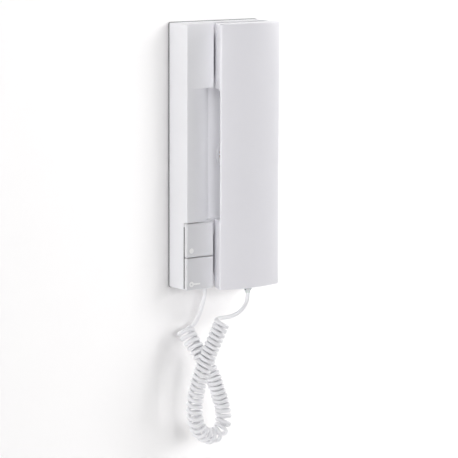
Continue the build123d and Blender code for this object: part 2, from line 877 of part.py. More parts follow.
# Handset front shell
with BuildPart() as handset_front:
    with BuildSketch(level(z_bottom)):
        add(handset_outline(handset_back_depth, handset_edge_round))
    extrude(amount=height)
    with BuildSketch(level(z_bottom + handset_wall)):
        add(handset_outline(handset_back_depth - overrun, handset_edge_round))
        offset(amount=-handset_wall)
    extrude(amount=height - 2 * handset_wall, mode=Mode.SUBTRACT)
    with BuildSketch(facing(handset_back_depth + handset_back_plate)):
        with Locations(*handset_screw_places):
            Circle(handset_boss_radius)
    extrude(
        amount=handset_crown_depth - handset_boss_skin - handset_back_depth - handset_back_plate
    )
    with BuildSketch(facing(handset_back_depth + handset_back_plate)):
        with Locations(*handset_screw_places):
            Circle(handset_screw_pilot_radius)
    extrude(amount=small_screw_length, mode=Mode.SUBTRACT)
    with BuildSketch(level(z_bottom - overrun)):
        with Locations((handset_exit_x, -handset_exit_depth)):
            Rectangle(plug_width + 2 * plug_fit, plug_depth + 2 * plug_fit)
    extrude(amount=handset_wall + 2 * overrun, mode=Mode.SUBTRACT)
handset_front.part.label = "handset_front"
export_step(handset_front.part, "parts/handset_front.step")

# Handset rear shell with its ear and mouth pads
pad_reach = handset_back_depth - pad_depth
with BuildPart() as handset_rear:
    with BuildSketch(facing(handset_back_depth)):
        with Locations((handset_x, 0)):
            Rectangle(rear_plate_width, height - 2 * (handset_wall + handset_fit))
    extrude(amount=handset_back_plate)
    with BuildSketch(facing(handset_back_depth)):
        with Locations((handset_x, ear_z), (handset_x, mouth_z)):
            RectangleRounded(pad_width, pad_height, pad_corner)
    extrude(amount=-pad_reach)
    chamfer(handset_rear.faces().sort_by(Axis.Y)[-2:].edges(), pad_edge_round)
    with BuildSketch(facing(handset_back_depth + handset_back_plate)):
        with Locations((handset_x, ear_z), (handset_x, mouth_z)):
            RectangleRounded(
                pad_width - 2 * pad_wall, pad_height - 2 * pad_wall, pad_corner - pad_wall
            )
    extrude(amount=pad_wall - handset_back_plate - pad_reach, mode=Mode.SUBTRACT)
    with BuildSketch(facing(pad_depth - overrun)):
        with Locations((handset_x, ear_z)):
            Circle(ear_hole_radius)
            with PolarLocations(ear_hole_ring, ear_hole_count):
                Circle(ear_hole_radius)
        with Locations((handset_x, mouth_z)):
            with GridLocations(mouth_hole_spacing, 0, mouth_hole_count, 1):
                Circle(mouth_hole_radius)
        with Locations((handset_x, hanger_z)):
            SlotOverall(hanger_width + 2 * hanger_gap, hanger_height + 2 * hanger_gap)
    extrude(amount=pad_wall + 2 * overrun, mode=Mode.SUBTRACT)
    with BuildSketch(facing(handset_back_depth)):
        with Locations(*handset_screw_places):
            Circle(small_screw_bore_radius)
    extrude(amount=small_screw_bore_depth, mode=Mode.SUBTRACT)
    with BuildSketch(facing(handset_back_depth)):
        with Locations(*handset_screw_places):
            Circle(handset_screw_hole_radius)
    extrude(amount=handset_back_plate, mode=Mode.SUBTRACT)
handset_rear.part.label = "handset_rear"
export_step(handset_rear.part, "parts/handset_rear.step")

handset_screws = screws(
    handset_screw_places,
    handset_back_depth + small_screw_bore_depth,
    True,
    small_screw_head_radius,
    small_screw_head_height,
    small_screw_shank_radius,
    small_screw_length,
)
handset_screws.label = "handset_screws"
export_step(handset_screws, "parts/handset_screws.step")

# Earpiece: foam ring, and the capsule with its magnet
pad_floor = pad_depth + pad_wall
with BuildPart() as earpiece_seal:
    with BuildSketch(facing(pad_floor)):
        with Locations((handset_x, ear_z)):
            Circle(earpiece_radius)
            Circle(earpiece_radius - seal_width, mode=Mode.SUBTRACT)
    extrude(amount=seal_thickness)
earpiece_seal.part.label = "earpiece_seal"
export_step(earpiece_seal.part, "parts/earpiece_seal.step")

with BuildPart() as earpiece_capsule:
    with BuildSketch(facing(pad_floor + seal_thickness)):
        with Locations((handset_x, ear_z)):
            Circle(earpiece_radius)
    extrude(amount=earpiece_thickness)
    with BuildSketch(facing(pad_floor + seal_thickness + earpiece_thickness)):
        with Locations((handset_x, ear_z)):
            Circle(earpiece_magnet_radius)
    extrude(amount=earpiece_magnet_thickness)
earpiece_capsule.part.label = "earpiece_capsule"
export_step(earpiece_capsule.part, "parts/earpiece_capsule.step")

# Microphone in its rubber holder
with BuildPart() as microphone_holder:
    with BuildSketch(facing(pad_floor)):
        with Locations((handset_x, mouth_z)):
            Circle(microphone_radius + holder_wall)
    extrude(amount=holder_floor + microphone_thickness)
    with BuildSketch(facing(pad_floor + holder_floor)):
        with Locations((handset_x, mouth_z)):
            Circle(microphone_radius)
    extrude(amount=microphone_thickness, mode=Mode.SUBTRACT)
    with BuildSketch(facing(pad_floor)):
        with Locations((handset_x, mouth_z)):
            Circle(mouth_hole_radius)
    extrude(amount=holder_floor, mode=Mode.SUBTRACT)
microphone_holder.part.label = "microphone_holder"
export_step(microphone_holder.part, "parts/microphone_holder.step")

with BuildPart() as microphone_capsule:
    with BuildSketch(facing(pad_floor + holder_floor)):
        with Locations((handset_x, mouth_z)):
            Circle(microphone_radius - handset_fit)
    extrude(amount=microphone_thickness)
microphone_capsule.part.label = "microphone_capsule"
export_step(microphone_capsule.part, "parts/microphone_capsule.step")

# Steel weight in the grip
with BuildPart() as handset_weight:
    with BuildSketch(facing(handset_back_depth + handset_back_plate)):
        with Locations((handset_x, 0)):
            RectangleRounded(weight_width, weight_height, handset_edge_round)
    extrude(amount=weight_thickness)
handset_weight.part.label = "handset_weight"
export_step(handset_weight.part, "parts/handset_weight.step")


def smooth_curve(route, steps):
    """Points on the smooth curve that a route's points pull on, from its first point to its last."""
    pull = [Vector(*p) for p in route]
    last = len(pull) - 3
    found = []
    for i in range(last + 1):
        start = pull[0] if i == 0 else (pull[i] + pull[i + 1]) * (1 / 2)
        end = pull[-1] if i == last else (pull[i + 1] + pull[i + 2]) * (1 / 2)
        for k in range(steps):
            t = k / steps
            found.append(start * (1 - t) ** 2 + pull[i + 1] * (2 * t * (1 - t)) + end * t**2)
    return found + [pull[-1]]


def curl_around(line):
    """The curly wire around a centre line: its points and directions at each half turn."""
    count = len(line)
    forward = [
        (line[min(i + 1, count - 1)] - line[max(i - 1, 0)]).normalized() for i in range(count)
    ]
    step = [(line[i + 1] - line[i]).length for i in range(count - 1)] + [0]
    side = [Vector(0, 1, 0)]
    for i in range(count):
        if i:
            side.append(side[-1])
        side[i] = (side[i] - forward[i] * side[i].dot(forward[i])).normalized()
    turned = [0]
    for i in range(count - 1):
        place = i / count * (len(coil_pitches) - 1)
        before, after = coil_pitches[int(place)], coil_pitches[int(place) + 1]
        bend = (forward[i + 1] - forward[i]).length / step[i]
        pitch = max(
            before + (after - before) * (place % 1),
            (2 * cord_radius + coil_least_gap) / (1 - bend * coil_radius),
        )
        turned.append(turned[-1] + step[i] / pitch)
    print("curls by pitch", round(turned[-1], 1), "made", coil_turns)
    turned = [t * coil_turns / turned[-1] for t in turned]

    def wire(turn):
        """The wire's point after this many turns."""
        i = max(k for k in range(count - 1) if turned[k] <= turn)
        share = (turn - turned[i]) / (turned[i + 1] - turned[i])
        centre = line[i] + (line[i + 1] - line[i]) * share
        back = (side[i] + (side[i + 1] - side[i]) * share).normalized()
        along = (forward[i] + (forward[i + 1] - forward[i]) * share).normalized()
        angle = 2 * math.pi * turn
        return centre + (back * math.cos(angle) - along.cross(back) * math.sin(angle)) * coil_radius

    halves = round(2 * coil_turns)
    at = [coil_turns * i / halves for i in range(halves + 1)]
    tiny = coil_tiny_turn_share
    points = [wire(t) for t in at]
    ways = [
        (wire(min(t + tiny, coil_turns)) - wire(max(t - tiny, 0))).normalized() for t in at
    ]
    steps = coil_dense_steps * halves
    dense = [wire(coil_turns * i / steps) for i in range(steps + 1)]
    return points, ways, dense


def biarc(p0, way0, p1, way1):
    """Where two arcs meet that join two points in the ways given, and the way there."""
    across = p1 - p0
    both = way0 + way1
    a = 2 * (way0.dot(way1) - 1)
    b = across.dot(both)
    reach = (b - math.sqrt(b * b - a * across.dot(across))) / a
    q0 = p0 + way0 * reach
    q1 = p1 - way1 * reach
    return (q0 + q1) * (1 / 2), (q1 - q0).normalized()


def least_gap(points, thickness, apart):
    """The least gap between stretches of a wire that lie at least apart along it."""
    along = [0]
    for a, b in zip(points, points[1:]):
        along.append(along[-1] + (b - a).length)
    places = [tuple(p) for p in points]
    least = math.inf
    for i in range(len(points)):
        for j in range(i + 1, len(points)):
            if along[j] - along[i] > apart:
                least = min(least, math.dist(places[i], places[j]))
    return least - thickness


def lead(points, radius):
    """A round lead along straight runs joined by arcs as large as the runs allow."""
    bends = []
    for before, here, after in zip(points, points[1:], points[2:]):
        run = min((here - before).length, (after - here).length)
        half_turn = math.radians((here - before).get_angle(after - here)) / 2
        bends.append(lead_bend_share * run / math.tan(half_turn))
    print("lead bends", [round(b, 1) for b in bends], "wire", 2 * radius)
    with BuildPart() as tube:
        with BuildLine() as path:
            FilletPolyline(*points, radius=bends)
        with BuildSketch(Plane(origin=points[0], z_dir=points[1] - points[0])) as section:
            RegularPolygon(radius, lead_sides)
        sweep(path=path.wires()[0])
    length = sum(e.length for e in path.edges())
    ratio = tube.part.volume / (section.sketch.area * length)
    print("lead length", round(length, 1), "volume ratio", round(ratio, 4))
    return tube.part


# Curly part of the cord
curl_points, curl_ways, curl_dense = curl_around(smooth_curve(coil_route, coil_steps))
coil_start = curl_points[0] - curl_ways[0] * coil_run_in
coil_end = curl_points[-1] + curl_ways[-1] * coil_run_in
print("coil starts", coil_start, curl_ways[0], "ends", coil_end, curl_ways[-1])
with BuildPart() as cord_coil:
    with BuildLine() as coil_path:
        Line(coil_start, curl_points[0])
        for p0, way0, p1, way1 in zip(curl_points, curl_ways, curl_points[1:], curl_ways[1:]):
            meet, way = biarc(p0, way0, p1, way1)
            TangentArc(p0, meet, tangent=way0)
            TangentArc(meet, p1, tangent=way)
        Line(curl_points[-1], coil_end)
    with BuildSketch(Plane(origin=coil_start, z_dir=curl_ways[0])) as coil_section:
        RegularPolygon(cord_radius, coil_wire_sides)
    sweep(path=coil_path.wires()[0], clean=False)
coil_length = sum(e.length for e in coil_path.edges())
coil_bends = [e.radius for e in coil_path.edges() if e.geom_type == GeomType.CIRCLE]
print("coil wire length", round(coil_length, 1), "least bend", round(min(coil_bends), 2))
print("coil volume ratio", round(cord_coil.part.volume / (coil_section.sketch.area * coil_length), 4))
print("least gap of the coil to itself", round(least_gap(curl_dense, 2 * cord_radius, 2 * coil_radius), 2))
cord_coil.part.label = "cord_coil"
export_step(cord_coil.part, "parts/cord_coil.step")

# Straight lead from the base to the coil
base_lead = lead(
    [Vector(*p) for p in base_lead_route] + [coil_start - curl_ways[0] * lead_run_in, coil_start],
    cord_radius,
)
base_lead.label = "base_lead"
export_step(base_lead, "parts/base_lead.step")

# Straight lead from the coil to the handset
handset_lead = lead(
    [coil_end, coil_end + curl_ways[-1] * lead_run_in] + [Vector(*p) for p in handset_lead_route],
    cord_radius,
)
handset_lead.label = "handset_lead"
export_step(handset_lead, "parts/handset_lead.step")
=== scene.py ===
"""A wall-mounted audio intercom handset with a curly cord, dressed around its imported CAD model."""

from __future__ import annotations

import json
import logging
import math
from dataclasses import dataclass
from enum import Enum

import bmesh
import bpy
import numpy as np
from mathutils import Matrix, Vector

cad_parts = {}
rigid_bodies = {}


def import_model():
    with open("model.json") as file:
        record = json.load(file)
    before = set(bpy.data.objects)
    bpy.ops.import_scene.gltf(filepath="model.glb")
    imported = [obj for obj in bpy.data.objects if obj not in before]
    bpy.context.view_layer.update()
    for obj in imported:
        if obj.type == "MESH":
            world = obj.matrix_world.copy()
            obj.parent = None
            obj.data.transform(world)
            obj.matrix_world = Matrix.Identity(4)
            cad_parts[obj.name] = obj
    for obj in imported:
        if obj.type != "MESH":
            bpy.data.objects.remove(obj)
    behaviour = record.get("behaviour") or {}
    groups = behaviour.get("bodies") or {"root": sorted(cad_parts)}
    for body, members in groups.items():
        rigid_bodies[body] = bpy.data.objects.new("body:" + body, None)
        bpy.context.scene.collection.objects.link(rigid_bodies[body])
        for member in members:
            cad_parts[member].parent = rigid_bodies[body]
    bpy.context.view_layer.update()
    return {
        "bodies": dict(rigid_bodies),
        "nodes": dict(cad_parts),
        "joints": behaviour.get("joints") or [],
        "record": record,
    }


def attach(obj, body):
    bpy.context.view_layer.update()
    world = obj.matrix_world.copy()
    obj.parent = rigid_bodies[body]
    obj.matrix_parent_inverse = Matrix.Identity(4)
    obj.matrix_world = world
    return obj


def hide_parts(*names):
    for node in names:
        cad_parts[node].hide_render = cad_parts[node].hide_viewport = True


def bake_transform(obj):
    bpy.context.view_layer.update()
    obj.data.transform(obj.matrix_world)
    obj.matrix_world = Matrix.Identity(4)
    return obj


log = logging.getLogger("intercom_handset")

MM = 0.001
WHITE = (1.0, 1.0, 1.0, 1.0)
Route = tuple[tuple[float, float, float], ...]
# The fixed direction that a wire's side starts from, straight into the wall
SIDE_START = np.array([0.0, 1.0, 0.0])
# A brushed grain's noise, squeezed along Z so that it draws out into lines, and the plain one
BRUSHED_SCALE, PLAIN_SCALE = (1.0, 1.0, 0.05), (1.0, 1.0, 1.0)
# How far a finish's patches vary its gloss, how strong its relief is and how deep light goes under it
GLOSS_LOW, GLOSS_HIGH = 0.9, 1.12
RELIEF = 0.5
LIGHT_DEPTH = 1.5 * MM


# Colour and node helpers


def linear(code: str) -> tuple[float, float, float, float]:
    """Turn an sRGB hex code into linear colour.

    Args:
        code: six hex digits, such as "E9E9E7".

    Returns:
        Red, green and blue as linear shares of one, and an alpha of one.
    """
    parts = np.array([int(code[i : i + 2], 16) for i in (0, 2, 4)], float) / 255
    straight = np.where(parts <= 0.04045, parts / 12.92, ((parts + 0.055) / 1.055) ** 2.4)
    return (*(float(v) for v in straight), 1.0)


def add(tree: bpy.types.NodeTree, kind: str, **values: object) -> bpy.types.Node:
    """Add a node with its settings and links.

    Args:
        tree: the node tree that takes the node.
        kind: the node's type name without its ShaderNode prefix.
        values: a setting of the node by its own name, or an input as in_NAME or in_0, which takes a value
            or a (node, output) pair.

    Returns:
        The new node.
    """
    node = tree.nodes.new("ShaderNode" + kind)
    inputs = {k: v for k, v in values.items() if k.startswith("in_")}
    for key, value in values.items():
        if key not in inputs:
            setattr(node, key, value)
    for key, value in inputs.items():
        name = key[3:]
        socket = node.inputs[int(name)] if name.isdigit() else node.inputs[name.replace("_", " ")]
        if isinstance(value, tuple) and isinstance(value[0], bpy.types.Node):
            tree.links.new(value[0].outputs[value[1]], socket)
        else:
            socket.default_value = value
    return node


def bare_tree(owner: bpy.types.Material | bpy.types.World) -> bpy.types.NodeTree:
    """Return the emptied node tree of a material or a world."""
    owner.use_nodes = True
    owner.node_tree.nodes.clear()
    return owner.node_tree


def seen_ray(tree: bpy.types.NodeTree) -> bpy.types.Node:
    """Add nodes that tell rays from a camera, off a mirror or through glass from all others.

    Args:
        tree: the node tree that takes them.

    Returns:
        The node whose Value is 1 for such a ray and 0 for any other.
    """
    ray = add(tree, "LightPath")
    seen = add(tree, "Math", operation="MAXIMUM", in_0=(ray, "Is Camera Ray"), in_1=(ray, "Is Glossy Ray"))
    return add(tree, "Math", operation="MAXIMUM", in_0=(seen, "Value"), in_1=(ray, "Is Transmission Ray"))


class Grain(Enum):
    """How a surface was made, which decides the pattern of its fine relief."""

    MOULDED = "moulded"
    BRUSHED = "brushed"
    POLISHED = "polished"
    CELLS = "cells"


@dataclass(frozen=True)
class Finish:
    """What one real material gives the eye.

    Attributes:
        name: the real material and how its surface was made.
        colour: sRGB hex code of its body.
        worn: sRGB hex code of its slightly different patches.
        roughness: roughness of its gloss.
        metallic: one for a bare metal.
        ior: index of refraction, of a material that is no metal.
        grain: the kind of fine relief.
        grain_mm: the real size of that relief, in millimetres.
        depth_mm: the depth of that relief, in millimetres.
        patch_mm: the size of the slow changes of colour and gloss, in millimetres.
        coat: share of a clear skin on top.
        soft: share of light that goes under the surface.
    """

    name: str
    colour: str
    worn: str
    roughness: float
    metallic: float = 0.0
    ior: float = 1.5
    grain: Grain = Grain.MOULDED
    grain_mm: float = 0.4
    depth_mm: float = 0.004
    patch_mm: float = 30.0
    coat: float = 0.0
    soft: float = 0.0

    def material(self) -> bpy.types.Material:
        """Return the Blender material of this finish, made once and then shared.

        Returns:
            A node-based material on Object coordinates, whose patterns are sized in millimetres.
        """
        found = bpy.data.materials.get(self.name)
        if found is not None:
            return found
        made = bpy.data.materials.new(self.name)
        tree = bare_tree(made)
        place = add(tree, "TexCoord")
        stretch = BRUSHED_SCALE if self.grain is Grain.BRUSHED else PLAIN_SCALE
        laid = add(tree, "Mapping", in_Vector=(place, "Object"), in_Scale=stretch)
        slow, fine = 1 / (self.patch_mm * MM), 1 / (self.grain_mm * MM)
        spots = add(tree, "TexNoise", in_Vector=(place, "Object"), in_Scale=slow, in_Detail=3.0)
        patch, along = (spots, "Fac"), (laid, "Vector")
        if self.grain is Grain.CELLS:
            height = (add(tree, "TexVoronoi", in_Vector=along, in_Scale=fine), "Distance")
        else:
            relief = add(tree, "TexNoise", in_Vector=along, in_Scale=fine, in_Detail=2.0, in_Roughness=0.55)
            height = (relief, "Fac")
        body, worn = linear(self.colour), linear(self.worn)
        colour = add(tree, "Mix", data_type="RGBA", in_Factor=patch, in_6=body, in_7=worn)
        low, high = self.roughness * GLOSS_LOW, min(1.0, self.roughness * GLOSS_HIGH)
        gloss = add(tree, "MapRange", in_Value=patch, in_3=low, in_4=high)
        strength = 0.0 if self.grain is Grain.POLISHED else RELIEF
        bump = add(tree, "Bump", in_Strength=strength, in_Distance=self.depth_mm * MM, in_Height=height)
        shader = add(
            tree,
            "BsdfPrincipled",
            in_Base_Color=(colour, "Result"),
            in_Roughness=(gloss, "Result"),
            in_Metallic=self.metallic,
            in_IOR=self.ior,
            in_Coat_Weight=self.coat,
            in_Subsurface_Weight=self.soft,
            in_Subsurface_Scale=LIGHT_DEPTH,
            in_Normal=(bump, "Normal"),
        )
        add(tree, "OutputMaterial", in_Surface=(shader, "BSDF"))
        return made


# Injection-moulded ABS from a finely eroded mould: white and satin, its grain just visible up close
WHITE_SHELL = Finish("satin_white_abs", "F0F0F3", "EEEEF1", 0.36, ior=1.53, grain_mm=0.35, depth_mm=0.006)
# The same ABS from a polished mould for the handset, so its highlight along the edge is tighter
HANDSET_SHELL = Finish("smooth_white_abs", "F0EFF4", "EEEDF2", 0.30, ior=1.53, grain_mm=0.5, depth_mm=0.003)
# The keys' ABS, a shade greyer than the shells so that their white marks show
KEY_CAP = Finish("light_grey_abs", "E3E3E6", "E0E0E3", 0.36, ior=1.53, grain_mm=0.35, depth_mm=0.006)
# Regrind ABS of the rear moulding, with a coarser matt grain
REAR_MOULDING = Finish("matt_grey_abs", "DEDEDA", "D6D6D1", 0.55, ior=1.53, grain_mm=0.5, depth_mm=0.012)
# Steel strip, zinc plated and passivated: bright, with long rolling lines
ZINC_STEEL = Finish(
    "zinc_plated_steel", "C8CACC", "B9BDC1", 0.32, metallic=1.0, grain=Grain.BRUSHED, grain_mm=0.25
)
# Glass-fibre board under green solder resist: a fine weave shows through a glossy skin
CIRCUIT_BOARD = Finish(
    "green_solder_resist", "1F5A38", "1A4F31", 0.3, grain=Grain.CELLS, grain_mm=0.9, depth_mm=0.01
)
# Polyamide of the terminal block: green, slightly waxy
GREEN_TERMINAL = Finish("green_polyamide", "2F7A45", "2A6F3E", 0.42, grain_mm=0.4, depth_mm=0.006)
# Glass-filled nylon of the switch bodies: black and matt, with flow marks
BLACK_SWITCH = Finish("black_nylon", "17181A", "202123", 0.48, grain_mm=0.5, depth_mm=0.01)
# Acetal of the stems: white, slippery and a little translucent
WHITE_STEM = Finish("white_acetal", "E4E4E0", "DDDDD8", 0.3, grain_mm=0.6, depth_mm=0.002, soft=0.1)
# Spun brass of the sounder disc, with fine turning marks
SOUNDER_BRASS = Finish(
    "spun_brass", "CBA75A", "BF994E", 0.28, metallic=1.0, grain=Grain.BRUSHED, grain_mm=0.2, depth_mm=0.003
)
# Moulded phenolic of the capsules: black and glossy
EARPIECE_CASE = Finish("black_phenolic", "141516", "1B1C1E", 0.2, grain=Grain.POLISHED, coat=0.2)
# Open-cell foam of the seal: dark, with cells of half a millimetre
FOAM = Finish("open_cell_foam", "26272A", "1E1F21", 0.9, grain=Grain.CELLS, grain_mm=0.5, depth_mm=0.15)
# Soft PVC over the cord: white, smooth and a little waxy
WHITE_CORD = Finish("soft_white_pvc", "EFEFF1", "EBEBEE", 0.38, ior=1.52, grain_mm=0.8, depth_mm=0.004)
# Mid-grey painted shade, for the shadow gap where the base meets the wall and for the shade in the seam
# beside the keys
PAINTED_SHADE_GREY = Finish("painted_shade_grey", "8C8C8E", "858587", 0.6, grain_mm=0.4, depth_mm=0.008)
# White ink of the marks on the keys, matt and a shade brighter than the shell
WHITE_FILM = Finish("white_ink_film", "FFFFFF", "FCFCFC", 0.5, grain_mm=0.3, depth_mm=0.002)
# Clear-white polycarbonate of the modular plugs
WHITE_PLUG = Finish(
    "milky_polycarbonate", "DFE1E1", "D5D8D9", 0.16, ior=1.58, grain=Grain.POLISHED, soft=0.15
)
# Dark grey painted shade: the two dark marks beside the tip of the boot, where its collar lies in shadow
BOOT_SHADE_GREY = Finish("painted_boot_shade", "6E7074", "66686C", 0.3, grain_mm=0.3, depth_mm=0.002)

SLOTS: dict[str, Finish] = {
    "white_shell": WHITE_SHELL,
    "rear_moulding": REAR_MOULDING,
    "zinc_steel": ZINC_STEEL,
    "circuit_board": CIRCUIT_BOARD,
    "green_terminal": GREEN_TERMINAL,
    "black_switch": BLACK_SWITCH,
    "white_stem": WHITE_STEM,
    "sounder_brass": SOUNDER_BRASS,
    "earpiece_case": EARPIECE_CASE,
    "foam": FOAM,
    "white_cord": WHITE_CORD,
    "white_plug": WHITE_PLUG,
}


# Mesh helpers


def grid_faces(rings: int, around: int, closed: bool = True, loop: bool = False) -> list[list[int]]:
    """Return the four-sided faces between rings of points that are numbered ring by ring.

    Args:
        rings: number of rings.
        around: points in each ring.
        closed: whether each ring closes on itself.
        loop: whether the last ring joins the first.

    Returns:
        For each face its four indices.
    """
    rows, cols = rings - (not loop), around - (not closed)
    row, col = np.meshgrid(np.arange(rows), np.arange(cols), indexing="ij")
    down, turn = (row + 1) % rings, (col + 1) % around
    corners = [row * around + col, row * around + turn, down * around + turn, down * around + col]
    return np.stack(corners, axis=-1).reshape(-1, 4).tolist()


def capped_faces(rings: int, around: int) -> list[list[int]]:
    """Return the faces between closed rings of points, with one more face over each end."""
    last = (rings - 1) * around
    return grid_faces(rings, around) + [list(range(around))[::-1], list(range(last, last + around))]


def linked(name: str, data: bpy.types.ID) -> bpy.types.Object:
    """Return a new object of some data, linked to the scene."""
    made = bpy.data.objects.new(name, data)
    bpy.context.scene.collection.objects.link(made)
    return made


def mesh_object(
    name: str, points: np.ndarray, faces: list[list[int]], material: bpy.types.Material, smooth: bool = True
) -> bpy.types.Object:
    """Make a mesh object at the origin.

    Args:
        name: name of the piece.
        points: N by 3 places in metres, in the row frame.
        faces: for each face the indices of its corners.
        material: what it is made of.
        smooth: whether its faces shade smoothly.

    Returns:
        The new object, linked to the scene.
    """
    mesh = bpy.data.meshes.new(name)
    mesh.from_pydata(points.tolist(), [], faces)
    mesh.update()
    mesh.polygons.foreach_set("use_smooth", np.full(len(mesh.polygons), smooth))
    mesh.materials.append(material)
    return linked(name, mesh)


def unit(rows: np.ndarray) -> np.ndarray:
    """Return each row divided by its own length."""
    return rows / np.linalg.norm(rows, axis=-1, keepdims=True)


def eased(share: np.ndarray) -> np.ndarray:
    """Return a share from 0 to 1 that starts and ends its rise softly."""
    return share * share * (3 - 2 * share)


def at_depth(flat: np.ndarray, depth: float) -> np.ndarray:
    """Return N by 2 points of the front view, across and up, as N by 3 points at a depth."""
    return np.column_stack([flat[:, 0], np.full(len(flat), -depth), flat[:, 1]])


def ways_along(line: np.ndarray) -> np.ndarray:
    """Return the unit direction of a line at each of its points, from the points beside it."""
    return unit(np.gradient(line, axis=0))


def carried_side(line: np.ndarray, first: np.ndarray) -> tuple[np.ndarray, np.ndarray, np.ndarray]:
    """Carry a side direction along a line without turning it about the line.

    The side starts as the part of a fixed direction that is square to the line. Turned back by the summed
    turn of that fixed side about the line, it doesn't twist.

    Args:
        line: N by 3 points.
        first: the fixed direction that the side starts from.

    Returns:
        The directions along the line, the carried side, and the third direction, each N by 3.
    """
    ways = ways_along(line)
    side = unit(first - (ways @ first)[:, None] * ways)
    third = np.cross(ways, side)
    middle = unit(third[:-1] + third[1:])
    turned = np.concatenate([[0.0], np.cumsum(np.einsum("ij,ij->i", np.diff(side, axis=0), middle))])
    c, s = np.cos(-turned)[:, None], np.sin(-turned)[:, None]
    return ways, side * c + third * s, third * c - side * s


def tube(name: str, line: np.ndarray, radii: np.ndarray, around: int, finish: Finish) -> bpy.types.Object:
    """Make a closed round tube along a line.

    Each point is the line's point plus radius times (side cosine a + third sine a), with a the angle round
    the tube. A fan of triangles closes each end.

    Args:
        name: name of the piece.
        line: N by 3 centre points in metres.
        radii: N radii in metres.
        around: points round the tube.
        finish: what it is made of.

    Returns:
        The tube.
    """
    _, side, third = carried_side(line, SIDE_START)
    angle = np.arange(around) * (2 * math.pi / around)
    rings = line[:, None] + radii[:, None, None] * (
        side[:, None] * np.cos(angle)[None, :, None] + third[:, None] * np.sin(angle)[None, :, None]
    )
    points = np.concatenate([rings.reshape(-1, 3), line[:1], line[-1:]])
    one = np.arange(around)
    two = (one + 1) % around
    middle = len(line) * around
    last = middle - around
    start = np.stack([np.full(around, middle), two, one], axis=-1)
    end = np.stack([np.full(around, middle + 1), last + one, last + two], axis=-1)
    faces = grid_faces(len(line), around) + start.tolist() + end.tolist()
    return mesh_object(name, points, faces, finish.material())


def smooth_line(name: str, route: np.ndarray, steps: int) -> np.ndarray:
    """Return points on the NURBS spline of a route.

    Args:
        name: name of the short-lived curve.
        route: N by 3 control points in metres.
        steps: points that Blender puts between two control points.

    Returns:
        The spline's own points, as Blender gives them for a curve with no bevel.
    """
    curve = bpy.data.curves.new(name, "CURVE")
    curve.dimensions = "3D"
    spline = curve.splines.new("NURBS")
    spline.points.add(len(route) - 1)
    spline.points.foreach_set("co", np.column_stack([route, np.ones(len(route))]).ravel())
    spline.order_u = 3
    spline.use_endpoint_u = True
    spline.resolution_u = steps
    made = bpy.data.objects.new(name, curve)
    mesh = bpy.data.meshes.new_from_object(made)
    points = np.zeros(len(mesh.vertices) * 3)
    mesh.vertices.foreach_get("co", points)
    bpy.data.meshes.remove(mesh)
    bpy.data.objects.remove(made)
    bpy.data.curves.remove(curve)
    return points.reshape(-1, 3)


def even(line: np.ndarray, count: int) -> np.ndarray:
    """Return a line again with evenly spaced points.

    Args:
        line: N by 3 points.
        count: number of points to return.

    Returns:
        Count by 3 points on the same line.
    """
    along = np.concatenate([[0.0], np.cumsum(np.linalg.norm(np.diff(line, axis=0), axis=1))])
    at = np.linspace(0, along[-1], count)
    return np.stack([np.interp(at, along, line[:, k]) for k in range(3)], axis=1)


# The cord


